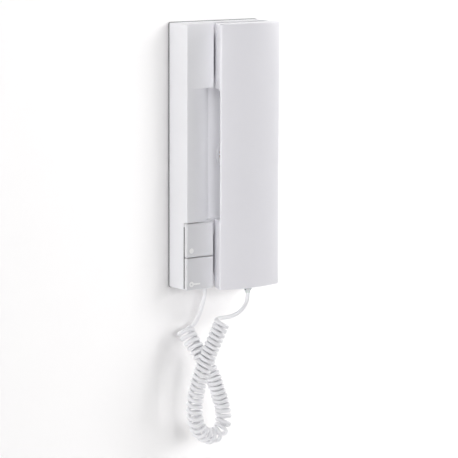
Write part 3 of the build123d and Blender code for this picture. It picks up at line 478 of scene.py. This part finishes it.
@dataclass
class CurlyCord:
    """The curly cord between the underside of the base and the underside of the handset.

    The routes repeat the CAD source's points, in millimetres. The curly part winds left-handed about its
    own spline. It is one wire in two pieces that meet in the hanging loop: the first stays with the base,
    and the second runs on from the loop to the handset.

    Attributes:
        diameter: of the wire.
        coil_radius: from the coil's axis to the middle of the wire.
        first_radius: the same in the very first curl, which is slack.
        slack_turns: curls over which the first radius narrows to the usual one.
        turns: number of curls.
        least_gap: least space between two curls on the inside of a bend.
        run_in: how far each lead goes on straight out of the coil.
        steps_per_turn: points of the wire in each curl.
        around: points round the wire.
        axis_steps: points of the splines between two control points of the coil's axis.
        axis_points: points of the axis, evenly spaced.
        lead_steps: points of the splines between two control points of a lead.
        split_height: height on the far limb at which the second piece starts.
        stretch_from: height below which the second piece would stay with the base; not used.
        stretch_to: height above which the second piece would go with the handset; not used.
        pitches: spacing of the curls along the coil, as the photograph shows it.
        coil_route: axis of the curly part.
        base_route: lead from the base.
        handset_route: lead to the handset.
    """

    diameter: float = 3.3
    coil_radius: float = 5.05
    first_radius: float = 5.9
    slack_turns: float = 3.5
    turns: float = 46.92
    least_gap: float = 0.5
    run_in: float = 4.2
    steps_per_turn: int = 36
    around: int = 16
    axis_steps: int = 24
    axis_points: int = 1200
    lead_steps: int = 12
    split_height: float = -216.5
    stretch_from: float = -211.0
    stretch_to: float = -132.0
    pitches: tuple[float, ...] = (5.2, 4.3, 4.1, 4.0, 4.4, 4.7, 5.3, 4.7, 4.0, 3.9, 4.2)
    coil_route: Route = (
        (-38.8, -11.0, -140.9), (-37.1, -16.0, -147.6), (-34.7, -21.0, -154.5),
        (-31.8, -25.0, -161.2), (-29.2, -28.0, -167.0), (-26.1, -30.0, -174.1),
        (-23.3, -31.0, -181.7), (-20.9, -31.8, -189.2), (-18.4, -32.3, -197.1),
        (-16.0, -32.8, -205.7), (-15.5, -33.2, -215.9), (-21.2, -33.8, -224.5),
        (-31.9, -34.6, -226.4), (-42.3, -35.5, -219.5), (-47.1, -36.5, -208.4),
        (-48.2, -37.7, -197.1), (-47.4, -39.0, -187.5), (-45.7, -40.5, -178.2),
        (-43.9, -42.0, -170.0), (-41.0, -43.5, -161.1), (-37.4, -45.2, -151.6),
        (-33.3, -47.0, -141.1), (-29.3, -49.0, -130.0),
    )
    base_route: Route = (
        (-16.5, -8.4, -106.5), (-16.5, -8.4, -111.5), (-17.3, -8.2, -117.6),
        (-19.0, -7.9, -123.8), (-21.2, -7.4, -130.0), (-23.9, -6.9, -135.6),
        (-26.5, -6.5, -139.0),
    )
    handset_route: Route = (
        (-20.2, -38.6, -128.9), (-13.3, -37.3, -129.2), (-5.1, -35.4, -128.4),
        (2.5, -33.4, -125.4), (6.8, -32.4, -121.4), (8.9, -32.3, -116.8),
        (8.9, -32.3, -112.1),
    )

    def helix(self) -> tuple[np.ndarray, np.ndarray]:
        """Work out the wire's centre line in the curly part.

        The wire is the axis plus the coil radius times (side cosine t minus third sine t), where t grows by
        a whole turn each pitch, and the pitch widens where the axis bends so that the curls don't touch.

        Returns:
            N by 3 points in metres, and the N points of the axis beside them.
        """
        spline = smooth_line("coil_axis", np.array(self.coil_route) * MM, self.axis_steps)
        axis = even(spline, self.axis_points)
        ways, side, third = carried_side(axis, SIDE_START)
        step = np.linalg.norm(axis[1] - axis[0]) / MM
        bend = np.linalg.norm(np.gradient(ways, axis=0), axis=1) / step
        share = np.linspace(0, 1, len(axis))
        pitch = np.interp(share, np.linspace(0, 1, len(self.pitches)), self.pitches)
        pitch = np.maximum(pitch, (self.diameter + self.least_gap) / (1 - bend * self.coil_radius))
        turned = np.concatenate([[0.0], np.cumsum(step / ((pitch[:-1] + pitch[1:]) / 2))])
        turned *= self.turns / turned[-1]
        at = np.linspace(0, self.turns, int(self.turns * self.steps_per_turn) + 1)
        where = np.interp(at, turned, share)

        def sampled(rows: np.ndarray) -> np.ndarray:
            """Return the rows at the places of the wire's points."""
            return np.stack([np.interp(where, share, rows[:, k]) for k in range(3)], axis=1)

        slack = eased(np.clip(1 - at / self.slack_turns, 0, 1))
        radius = self.coil_radius + (self.first_radius - self.coil_radius) * slack
        angle = 2 * math.pi * at[:, None]
        out = unit(sampled(side)) * np.cos(angle) - unit(sampled(third)) * np.sin(angle)
        middle = sampled(axis)
        return middle + out * radius[:, None] * MM, middle

    def lines(self) -> tuple[np.ndarray, np.ndarray]:
        """Join the leads to the coil and part the wire in the loop.

        Returns:
            The centre lines of the two pieces, from the base down and from the loop to the handset.
        """
        coil, axis = self.helix()
        into, out = unit(coil[1] - coil[0]), unit(coil[-1] - coil[-2])
        run = self.run_in * MM
        base = np.concatenate([np.array(self.base_route) * MM, [coil[0] - into * run, coil[0]]])
        handset = np.concatenate([[coil[-1], coil[-1] + out * run], np.array(self.handset_route) * MM])
        first = smooth_line("base_lead_axis", base, self.lead_steps)
        last = smooth_line("handset_lead_axis", handset, self.lead_steps)
        low = int(np.argmin(axis[:, 2]))
        split = low + int(np.argmax(axis[low:, 2] > self.split_height * MM))
        return np.concatenate([first[:-1], coil[: split + 1]]), np.concatenate([coil[split:], last[1:]])

    def build(self) -> None:
        lower, upper = self.lines()
        for name, line, ends in (
            ("cord_from_base", lower, ("cord_coil", "base_lead")),
            ("cord_to_handset", upper[::-1], ("cord_coil", "handset_lead")),
        ):
            piece = tube(name, line, np.full(len(line), self.diameter / 2 * MM), self.around, WHITE_CORD)
            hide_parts(*ends)
            if name == "cord_from_base":
                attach(piece, "base")
            else:
                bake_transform(piece)


# Marks on the keys


@dataclass
class KeyMarks:
    """The generic marks on the two keys: a white lamp dot and a white key, as raised printed film.

    Attributes:
        face_depth: depth of the keys' front face.
        height: how far the film stands proud.
        sunk: how far it goes into the key's face.
        shoulder: share of the height at which its rounded edge starts.
        rim: width of the film's rounded edge.
        left: middle of both marks, from the middle of the object.
        lamp_z: height of the dot's middle.
        key_z: height of the key's middle.
        lamp_radius: radius of the dot.
        bow_radius: outer radius of the key's ring.
        hole_radius: radius of the ring's hole.
        shaft_end: right end of the shaft.
        shaft_half: half the shaft's thickness.
        shaft_reach: how far past that the ring's points are drawn out into the shaft.
        pinhole: radius of the dot's own hole, too small to see.
        around: points round each outline.
    """

    face_depth: float = 25.0
    height: float = 0.06
    sunk: float = 0.02
    shoulder: float = 0.6
    rim: float = 0.08
    left: float = -42.0
    lamp_z: float = -74.6
    key_z: float = -101.7
    lamp_radius: float = 2.1
    bow_radius: float = 2.2
    hole_radius: float = 0.75
    shaft_end: float = -33.4
    shaft_half: float = 0.62
    shaft_reach: float = 0.1
    pinhole: float = 0.05
    around: int = 72

    def film(self, name: str, outline: np.ndarray, hole: np.ndarray, body: str) -> None:
        """Make a film between an outline and a hole with the same number of points.

        Its skin runs over five loops of points: the outline at its foot and at its shoulder, the outline
        drawn in by the rim and the hole at the top, and the hole at its foot.

        Args:
            name: name of the piece.
            outline: N by 2 points across and up, in millimetres, anticlockwise.
            hole: N by 2 points in the same order.
            body: the body that it rides on.
        """
        inner = outline + unit(hole - outline) * self.rim
        foot, top = self.face_depth - self.sunk, self.face_depth + self.height
        shoulder = self.face_depth + self.height * self.shoulder
        loops = [(outline, foot), (outline, shoulder), (inner, top), (hole, top), (hole, foot)]
        points = np.concatenate([at_depth(loop, depth) for loop, depth in loops])
        faces = grid_faces(len(loops), len(outline))
        piece = mesh_object(name, points * MM, faces, WHITE_FILM.material(), smooth=False)
        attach(piece, body)

    def build(self) -> None:
        """Make the dot and the key."""
        angle = np.linspace(0, 2 * math.pi, self.around, endpoint=False)
        ring = np.column_stack([np.cos(angle), np.sin(angle)])
        dot = np.array([self.left, self.lamp_z])
        self.film("lamp_mark", dot + ring * self.lamp_radius, dot + ring * self.pinhole, "upper_key")
        bow = np.array([self.left, self.key_z])
        edge = bow + ring * self.bow_radius
        drawn = self.shaft_half + self.shaft_reach
        shaft = (ring[:, 0] > 0) & (np.abs(ring[:, 1]) * self.bow_radius < drawn)
        edge[shaft, 0] = self.shaft_end
        edge[shaft, 1] = bow[1] + np.sign(ring[shaft, 1]) * self.shaft_half
        self.film("key_mark", edge, bow + ring * self.hole_radius, "lower_key")


# The handset's shells and the small parts round the base


@dataclass
class Handset:
    """The handset's two shells, with the grip cut back beside the finger recess as the photograph shows.

    The CAD's shells have the same section from end to end. Here the sides slant in further over the grip,
    so that the front edge alone shows there, and the ends of the body are rounded.

    Attributes:
        middle: place of the handset's middle, across.
        half: half its width at the front edge.
        edge_depth: depth of the front edge.
        crown_depth: depth of the front's crown.
        back_depth: depth of the back.
        plate: thickness of the rear plate.
        half_back: half the width at the back, at the two ends.
        grip_back: the same over the grip.
        lip: half the width of the rear plate at the two ends.
        grip_lip: the same over the grip.
        end: height of the two ends.
        grip_z: height of the grip's middle.
        grip_half: half the grip's length.
        grip_blend: length over which the grip widens to the ends.
        edge_round: how much of each side the front edge's rounding takes.
        back_round: the same at the back edge.
        end_round: radius of the rounding of the two ends.
        lip_step: share of the blend after which the rear plate has its full width.
        cut_share: share of the blend over which the rear plate is cut back.
        cut_overlap: how far that cut reaches under the front shell's lip.
        cut_margin: how far it reaches past the plate's two faces.
        plate_overlap: how far the front shell's lip reaches into the plate.
        sharp_angle: degrees between two faces from which their edge stays sharp.
        crown_points: points of half the crown.
        edge_points: points of the front edge's rounding.
        side_points: points of a side.
        heel_points: points of the back edge's rounding.
        end_sections: sections of the rounding of each end.
        blend_sections: sections of each blend.
        grip_sections: sections of the grip.
    """

    middle: float = 6.0
    half: float = 30.0
    edge_depth: float = 38.2
    crown_depth: float = 43.8
    back_depth: float = 24.5
    plate: float = 2.0
    half_back: float = 24.7
    grip_back: float = 17.6
    lip: float = 22.5
    grip_lip: float = 15.6
    end: float = 106.5
    grip_z: float = 1.5
    grip_half: float = 50.0
    grip_blend: float = 3.5
    edge_round: float = 1.7
    back_round: float = 0.6
    end_round: float = 1.0
    lip_step: float = 0.97
    cut_share: float = 0.9
    cut_overlap: float = 0.1
    cut_margin: float = 1.0
    plate_overlap: float = 0.05
    sharp_angle: float = 32.0
    crown_points: int = 16
    edge_points: int = 7
    side_points: int = 9
    heel_points: int = 5
    end_sections: int = 6
    blend_sections: int = 12
    grip_sections: int = 12

    def section(self, z: float) -> np.ndarray:
        """Return the body's outline at a height.

        Args:
            z: the height, in millimetres.

        Returns:
            One closed round of points across and in depth, in millimetres.
        """
        over = np.clip((abs(z - self.grip_z) - self.grip_half) / self.grip_blend, 0, 1)
        back = self.grip_back + (self.half_back - self.grip_back) * eased(over)
        lip = self.grip_lip if over < self.lip_step else self.lip
        rise = self.crown_depth - self.edge_depth
        radius = (self.half**2 + rise**2) / (2 * rise)
        reach = math.asin(self.half / radius) - self.edge_round / radius
        turn = np.linspace(0, reach, self.crown_points)
        front = np.column_stack([radius * np.sin(turn), self.crown_depth - radius * (1 - np.cos(turn))])
        edge, heel = np.array([self.half, self.edge_depth]), np.array([back, self.back_depth])
        down = unit(heel - edge)
        top, foot = edge + down * self.edge_round, heel - down * self.back_round
        floor = self.back_depth + self.plate - self.plate_overlap
        right = np.concatenate(
            [
                front[:-1],
                self.bend(front[-1], edge, top, self.edge_points),
                np.linspace(top, foot, self.side_points)[1:-1],
                self.bend(foot, heel, heel - np.array([self.back_round, 0.0]), self.heel_points),
                [[lip, self.back_depth], [lip, floor]],
            ]
        )
        left = right[::-1][:-1] * np.array([-1.0, 1.0])
        return np.concatenate([right, left])

    @staticmethod
    def bend(first: np.ndarray, corner: np.ndarray, last: np.ndarray, count: int) -> np.ndarray:
        """Return points on the smooth bend from one point to another that a corner pulls out."""
        t = np.linspace(0, 1, count)[:, None]
        return (1 - t) ** 2 * first + 2 * t * (1 - t) * corner + t**2 * last

    @staticmethod
    def drawn_in(outline: np.ndarray, by: float) -> np.ndarray:
        """Return a closed outline moved inwards at each of its points.

        Args:
            outline: N by 2 points.
            by: how far they move.

        Returns:
            The N moved points.
        """
        along = unit(np.roll(outline, -1, axis=0) - np.roll(outline, 1, axis=0))
        inward = np.column_stack([-along[:, 1], along[:, 0]])
        centre = outline.mean(axis=0)
        side = np.sign(np.einsum("ij,ij->i", inward, centre - outline).sum())
        return outline + inward * side * by

    def body(self) -> None:
        """Make the front shell, from its sections along the height."""
        turn = np.linspace(0, math.pi / 2, self.end_sections)
        rounding = self.end_round * np.column_stack([1 - np.sin(turn), 1 - np.cos(turn)])
        low, high = self.grip_z - self.grip_half, self.grip_z + self.grip_half
        blend = np.linspace(0, self.grip_blend, self.blend_sections)
        grip = np.linspace(low, high, self.grip_sections)[1:-1]
        steps = [(-self.end + d, i) for i, d in rounding]
        steps += [(z, 0.0) for z in (*(low - blend[::-1]), *grip, *(high + blend))]
        steps += [(self.end - d, i) for i, d in rounding[::-1]]
        rings = []
        for z, inset in steps:
            outline = self.section(z)
            outline = self.drawn_in(outline, inset) if inset > 0 else outline
            across, depth = self.middle + outline[:, 0], outline[:, 1]
            rings.append(np.column_stack([across, -depth, np.full(len(outline), z)]))
        mesh = bpy.data.meshes.new("handset_body")
        points = np.concatenate(rings) * MM
        mesh.from_pydata(points.tolist(), [], capped_faces(len(rings), len(rings[0])))
        self.finished(mesh, "handset_front")

    def back(self, frame: dict) -> None:
        """Make the rear shell: the CAD's own, with its plate cut back over the grip.
        """
        blank = linked("handset_back_blank", frame["nodes"]["handset_rear"].data.copy())
        room = bpy.data.meshes.new("grip_room")
        reach = self.grip_half + self.grip_blend * self.cut_share
        inner = self.grip_lip - self.cut_overlap
        x = np.array([[inner, self.half], [-self.half, -inner]]) + self.middle
        y = (-self.back_depth - self.plate - self.cut_margin, self.cut_margin - self.back_depth)
        z = (self.grip_z - reach, self.grip_z + reach)
        points = [(a, b, c) for pair in x for a in pair for b in y for c in z]
        box = np.array([[0, 1, 3, 2], [4, 6, 7, 5], [0, 4, 5, 1], [2, 3, 7, 6], [0, 2, 6, 4], [1, 5, 7, 3]])
        room.from_pydata((np.array(points) * MM).tolist(), [], np.concatenate([box, box + 8]).tolist())
        cutter = linked("grip_room", room)
        cut = blank.modifiers.new("grip", "BOOLEAN")
        cut.operation, cut.object, cut.solver = "DIFFERENCE", cutter, "EXACT"
        mesh = bpy.data.meshes.new_from_object(blank.evaluated_get(bpy.context.evaluated_depsgraph_get()))
        mesh.name = "handset_back"
        for thing in (blank, cutter):
            bpy.data.objects.remove(thing)
        self.finished(mesh, "handset_rear")

    def finished(self, mesh: bpy.types.Mesh, node: str) -> None:
        """Make an object of a handset shell, smooth but for its edges, which stands for a CAD node.

        Args:
            mesh: the shell.
            node: the CAD node.
        """
        form = bmesh.new()
        form.from_mesh(mesh)
        bmesh.ops.recalc_face_normals(form, faces=form.faces[:])
        form.to_mesh(mesh)
        form.free()
        mesh.polygons.foreach_set("use_smooth", np.ones(len(mesh.polygons), bool))
        mesh.set_sharp_from_angle(angle=math.radians(self.sharp_angle))
        mesh.materials.clear()
        mesh.materials.append(HANDSET_SHELL.material())
        piece = linked(mesh.name, mesh)
        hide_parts(node)
        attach(piece, "receiver")

    def build(self, frame: dict) -> None:
        """Make both shells."""
        self.body()
        self.back(frame)


@dataclass
class BaseShadowGap:
    """A grey band of painted shade round the base at the wall: it paints the dark shadow gap between the
    base and the wall as a thin line.

    Attributes:
        width: of the base.
        height: of the base.
        thickness: how much of the rim shows.
        proud: how far it stands out past the cover.
        corner: radius of the right-hand corners.
        left_corner: radius of the left-hand corners.
        sunk: how far it reaches in under the cover's edge.
        gap: between it and the wall.
        corner_points: points of each corner.
    """

    width: float = 93.0
    height: float = 213.0
    thickness: float = 0.9
    proud: float = 0.4
    corner: float = 9.0
    left_corner: float = 1.2
    sunk: float = 0.3
    gap: float = 0.02
    corner_points: int = 13

    def outline(self, out: float) -> np.ndarray:
        """Return the base's outline from the front.

        Args:
            out: how far it is grown.

        Returns:
            N by 2 points across and up, anticlockwise from the lower right.
        """
        places = []
        for sx, sz, start, radius in (
            (1, -1, -90, self.corner),
            (1, 1, 0, self.corner),
            (-1, 1, 90, self.left_corner),
            (-1, -1, 180, self.left_corner),
        ):
            turn = np.radians(np.linspace(start, start + 90, self.corner_points))
            centre = np.array([sx * (self.width / 2 - radius), sz * (self.height / 2 - radius)])
            places.append(centre + (radius + out) * np.column_stack([np.cos(turn), np.sin(turn)]))
        return np.concatenate(places)

    def build(self) -> None:
        """Make the band of painted shade."""
        near, far = self.gap, self.thickness
        loops = [(-self.sunk, near), (self.proud, near), (self.proud, far), (-self.sunk, far)]
        rings = [at_depth(self.outline(out), depth) for out, depth in loops]
        faces = grid_faces(len(rings), len(rings[0]), loop=True)
        points = np.concatenate(rings) * MM
        # Grey band of painted shade, standing for the shadow gap where the base meets the wall
        piece = mesh_object("rear_shadow_gap", points, faces, PAINTED_SHADE_GREY.material(), smooth=False)
        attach(piece, "base")


@dataclass
class KeySeamShade:
    """A grey strip of painted shade in the seam beside the two keys, on the left-hand side of the base,
    where the seam's inside lies in shade.

    Attributes:
        left: left edge, just inside the base's side.
        right: right edge, under the keys.
        low: lower end.
        high: upper end, under the upper key's top.
        back: depth of the seat that it lies on.
        front: depth of its own front, which a pressed key doesn't reach.
    """

    left: float = -46.42
    right: float = -44.6
    low: float = -105.6
    high: float = -55.6
    back: float = 20.28
    front: float = 20.42

    def build(self) -> None:
        """Make the strip."""
        left, right, low, high = self.left, self.right, self.low, self.high
        corners = np.array([(left, low), (right, low), (right, high), (left, high)])
        points = np.concatenate([at_depth(corners, depth) for depth in (self.back, self.front)])
        # Grey strip of painted shade, standing for the shade inside the seam beside the keys
        piece = mesh_object("key_seam_shade", points * MM, capped_faces(2, 4), PAINTED_SHADE_GREY.material(), smooth=False)
        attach(piece, "base")


@dataclass
class BootShadeMarks:
    """Two small dark pieces of painted shade beside the tip of the cord's boot, under the handset, where
    the boot's collar lies in shadow.

    Attributes:
        middle: place of the boot's middle, across.
        depth: depth of the boot's middle.
        apart: from the boot's middle to the middle of each piece.
        top: height of their upper ends.
        length: how far they reach down.
        half: half a piece's thickness, across.
        half_depth: half its size in depth.
        profile: for each section from the lower end up, how far down it is and how full, as shares.
    """

    middle: float = 8.9
    depth: float = 32.3
    apart: float = 2.3
    top: float = -108.9
    length: float = 1.3
    half: float = 0.5
    half_depth: float = 0.7
    profile: tuple[tuple[float, float], ...] = ((1.0, 0.4), (0.75, 1.0), (0.25, 1.0), (0.0, 0.4))

    def build(self) -> None:
        """Make both pieces, with bevelled ends."""
        rings = []
        for side in (-1, 1):
            for down, share in self.profile:
                x = self.middle + side * self.apart + np.array([-1, 1, 1, -1]) * self.half * share
                y = -self.depth + np.array([-1, -1, 1, 1]) * self.half_depth * share
                rings.append(np.column_stack([x, y, np.full(4, self.top - down * self.length)]))
        one = np.array(capped_faces(len(self.profile), 4))
        faces = np.concatenate([one, one + len(self.profile) * 4]).tolist()
        points = np.concatenate(rings) * MM
        # Dark pieces of painted shade, standing for the shadow beside the boot's collar
        piece = mesh_object("boot_shade_marks", points, faces, BOOT_SHADE_GREY.material(), smooth=False)
        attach(piece, "receiver")


# Camera, light and surroundings


@dataclass
class Viewpoint:
    """The photograph's camera, in the CAD frame and in millimetres and degrees.

    Attributes:
        target: the point that it looks at.
        eye: where it stands.
        roll: how far it is turned about its own axis.
        lens: its focal length.
        sensor: its sensor's width.
        clip: the nearest and the farthest distance that it shows, in metres.
    """

    target: tuple[float, float, float] = (13.87, 0.0, -64.5)
    eye: tuple[float, float, float] = (-1226.2, -1662.3, 237.0)
    roll: float = 0.186
    lens: float = 201.2
    sensor: float = 36.0
    clip: tuple[float, float] = (0.05, 50.0)

    def build(self) -> None:
        """Make the camera and set it as the scene's."""
        data = bpy.data.cameras.new("camera")
        data.lens, data.sensor_width = self.lens, self.sensor
        data.clip_start, data.clip_end = self.clip
        camera = linked("camera", data)
        eye, target = Vector(self.eye) * MM, Vector(self.target) * MM
        aim = (target - eye).to_track_quat("-Z", "Y").to_matrix().to_4x4()
        turn = Matrix.Rotation(math.radians(self.roll), 4, "Z")
        camera.matrix_world = Matrix.Translation(eye) @ aim @ turn
        bpy.context.scene.camera = camera


class Lit(Enum):
    """What a lamp lights."""

    OBJECT = "object"
    WALL = "wall"


@dataclass(frozen=True)
class Lamp:
    """A soft square lamp that looks at the object.

    Attributes:
        name: where it stands.
        azimuth: degrees from straight in front, towards the right.
        elevation: degrees above the level.
        size: its side in metres.
        power: in watts.
        lights: whether it lights the object or the wall.
        distance: from the point that it looks at, in metres.
        aim: height of that point, in metres.
        passes: whether its light goes through the backdrop, for a lamp behind it.
    """

    name: str
    azimuth: float
    elevation: float
    size: float
    power: float
    lights: Lit
    distance: float = 2.0
    aim: float = -0.05
    passes: bool = False

    def build(self, wall: bpy.types.Object) -> None:
        """Make the lamp.

        Args:
            wall: the backdrop, which a lamp can leave out or light alone.
        """
        turn, rise = math.radians(self.azimuth), math.radians(self.elevation)
        way = Vector((math.sin(turn) * math.cos(rise), -math.cos(turn) * math.cos(rise), math.sin(rise)))
        data = bpy.data.lights.new(self.name, "AREA")
        data.shape, data.size, data.energy = "SQUARE", self.size, self.power
        lamp = linked(self.name, data)
        lamp.location = Vector((0, 0, self.aim)) + way * self.distance
        lamp.rotation_mode = "QUATERNION"
        lamp.rotation_quaternion = (-way).to_track_quat("-Z", "Y")
        group = bpy.data.collections.new(self.name + "_lights")
        group.objects.link(wall)
        state = "EXCLUDE" if self.lights is Lit.OBJECT else "INCLUDE"
        group.collection_objects[0].light_linking.link_state = state
        lamp.light_linking.receiver_collection = group
        if self.passes:
            lamp.light_linking.blocker_collection = group


@dataclass
class Studio:
    """The pale wall and floor, the soft lamps and the even light of the room.

    Some lamps light the object alone and some the wall alone, so that the wall can be white in the picture
    and keep the object's soft shadow without more light on the object.

    Attributes:
        wall_reach: half the backdrop's width, and its height above the object's middle, in metres.
        wall_step: height of the one more row of points on the wall.
        wall_gap: between the object's back and the wall.
        floor_drop: how far below the object's middle the floor lies.
        bend: radius of the sweep between the wall and the floor.
        bend_points: points of that sweep.
        room_light: strength of the world's even light on matt surfaces.
        room_seen: how pale the world looks to a camera, a mirror and glass, where 1 is white.
        floor_glow: how pale the far floor looks to a camera, a mirror and glass.
        glow_top: height at which that paleness starts.
        glow_full: height at which it is complete.
        wall_colour: sRGB hex code of the paint.
        lamps: the lamps.
    """

    wall_reach: float = 6.0
    wall_step: float = 0.5
    wall_gap: float = 0.0005
    floor_drop: float = 1.3
    bend: float = 0.5
    bend_points: int = 17
    room_light: float = 0.0
    room_seen: float = 0.8
    floor_glow: float = 0.75
    glow_top: float = -0.6
    glow_full: float = -1.0
    wall_colour: str = "FCFBFB"
    lamps: tuple[Lamp, ...] = (
        Lamp("right_edge", 97, 5, 1.6, 17.0, Lit.OBJECT),
        Lamp("right_above", 75, 25, 1.2, 22.0, Lit.OBJECT),
        Lamp("front_left", -20, 10, 1.0, 6.6, Lit.OBJECT),
        Lamp("beside_camera", -37, 10, 1.0, 17.4, Lit.OBJECT),
        Lamp("left_edge", -100, 5, 1.6, 21.0, Lit.OBJECT),
        Lamp("behind", 180, 15, 1.2, 9.0, Lit.OBJECT, passes=True),
        Lamp("wall_left", -12, 8, 0.6, 9.2, Lit.WALL),
        Lamp("wall_middle", 15, 8, 0.8, 9.6, Lit.WALL),
        Lamp("wall_right", 60, 8, 2.4, 19.2, Lit.WALL),
        Lamp("wall_right_above", 40, 30, 1.2, 15.1, Lit.WALL),
        Lamp("wall_overhead", 0, 60, 1.2, 7.2, Lit.WALL),
    )

    def backdrop(self) -> bpy.types.Object:
        """Make the wall that runs down into the floor in one sweep.

        Its profile is the wall, a quarter circle and the floor, carried along X. It shows on its front
        only, so that it doesn't hide the object from behind.

        Returns:
            The backdrop.
        """
        quarter = np.linspace(0, math.pi / 2, self.bend_points)
        out, up = self.bend * (1 - np.cos(quarter)), self.bend * (1 - np.sin(quarter))
        y = np.concatenate([[self.wall_gap] * 2, self.wall_gap - out, [-self.wall_reach]])
        z = np.concatenate([[self.wall_reach, self.wall_step], up - self.floor_drop, [-self.floor_drop]])
        x = np.array([-self.wall_reach, 0.0, self.wall_reach])
        points = np.stack([np.repeat(x, len(y)), np.tile(y, len(x)), np.tile(z, len(x))], axis=1)
        wall = mesh_object("backdrop", points, grid_faces(len(x), len(y), closed=False), self.painted())
        return wall

    def painted(self) -> bpy.types.Material:
        """Make matt white wall paint that is clear from behind.

        Returns:
            The paint, which is pale on the floor to a camera, a mirror and glass.
        """
        made = bpy.data.materials.new("matt_wall_paint")
        tree = bare_tree(made)
        height = add(tree, "SeparateXYZ", in_0=(add(tree, "TexCoord"), "Object"))
        full, top, most = self.glow_full, self.glow_top, self.floor_glow
        low = add(tree, "MapRange", in_Value=(height, "Z"), in_1=full, in_2=top, in_3=most, in_4=0.0)
        glow = add(tree, "Math", operation="MULTIPLY", in_0=(seen_ray(tree), "Value"), in_1=(low, "Result"))
        paint = add(tree, "BsdfDiffuse", in_Color=linear(self.wall_colour))
        lit = add(tree, "Emission", in_Color=WHITE, in_Strength=(glow, "Value"))
        front = add(tree, "AddShader", in_0=(paint, "BSDF"), in_1=(lit, "Emission"))
        clear = add(tree, "BsdfTransparent")
        behind = (add(tree, "NewGeometry"), "Backfacing")
        both = add(tree, "MixShader", in_0=behind, in_1=(front, "Shader"), in_2=(clear, "BSDF"))
        add(tree, "OutputMaterial", in_Surface=(both, "Shader"))
        return made

    def build(self) -> None:
        """Make the room: wall and floor, world and lamps."""
        wall = self.backdrop()
        world = bpy.data.worlds.new("room")
        tree = bare_tree(world)
        seen = (seen_ray(tree), "Value")
        strength = add(tree, "MapRange", in_Value=seen, in_3=self.room_light, in_4=self.room_seen)
        back = add(tree, "Background", in_Color=WHITE, in_Strength=(strength, "Result"))
        add(tree, "OutputWorld", in_Surface=(back, "Background"))
        bpy.context.scene.world = world
        for lamp in self.lamps:
            lamp.build(wall)
        bpy.context.scene.view_settings.view_transform = "Standard"


# The CAD nodes' own finishes


@dataclass
class Shells:
    """The CAD nodes that stay as they are and get their real material.

    Attributes:
        own: nodes whose finish isn't that of their slot.
    """

    own: tuple[tuple[str, Finish], ...] = (("upper_key", KEY_CAP), ("lower_key", KEY_CAP))

    def build(self, frame: dict) -> None:
        """Give each CAD node the finish of its record slot.
        """
        own = dict(self.own)
        slots = {row["node"]: row["material_slot"] for row in frame["record"]["subparts"]}
        for name, node in frame["nodes"].items():
            slot = slots[name]
            finish = own.get(name) or SLOTS[slot]
            node.data.materials.clear()
            node.data.materials.append(finish.material())
            log.info("%s: %s (%s)", name, finish.name, slot)


def main() -> None:
    """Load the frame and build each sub-assembly in order."""
    logging.basicConfig(level=logging.INFO, format="%(message)s")
    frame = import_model()
    Viewpoint().build()
    CurlyCord().build()
    KeyMarks().build()
    Handset().build(frame)
    BaseShadowGap().build()
    KeySeamShade().build()
    BootShadeMarks().build()
    Shells().build(frame)
    Studio().build()


if __name__ == "__main__":
    main()
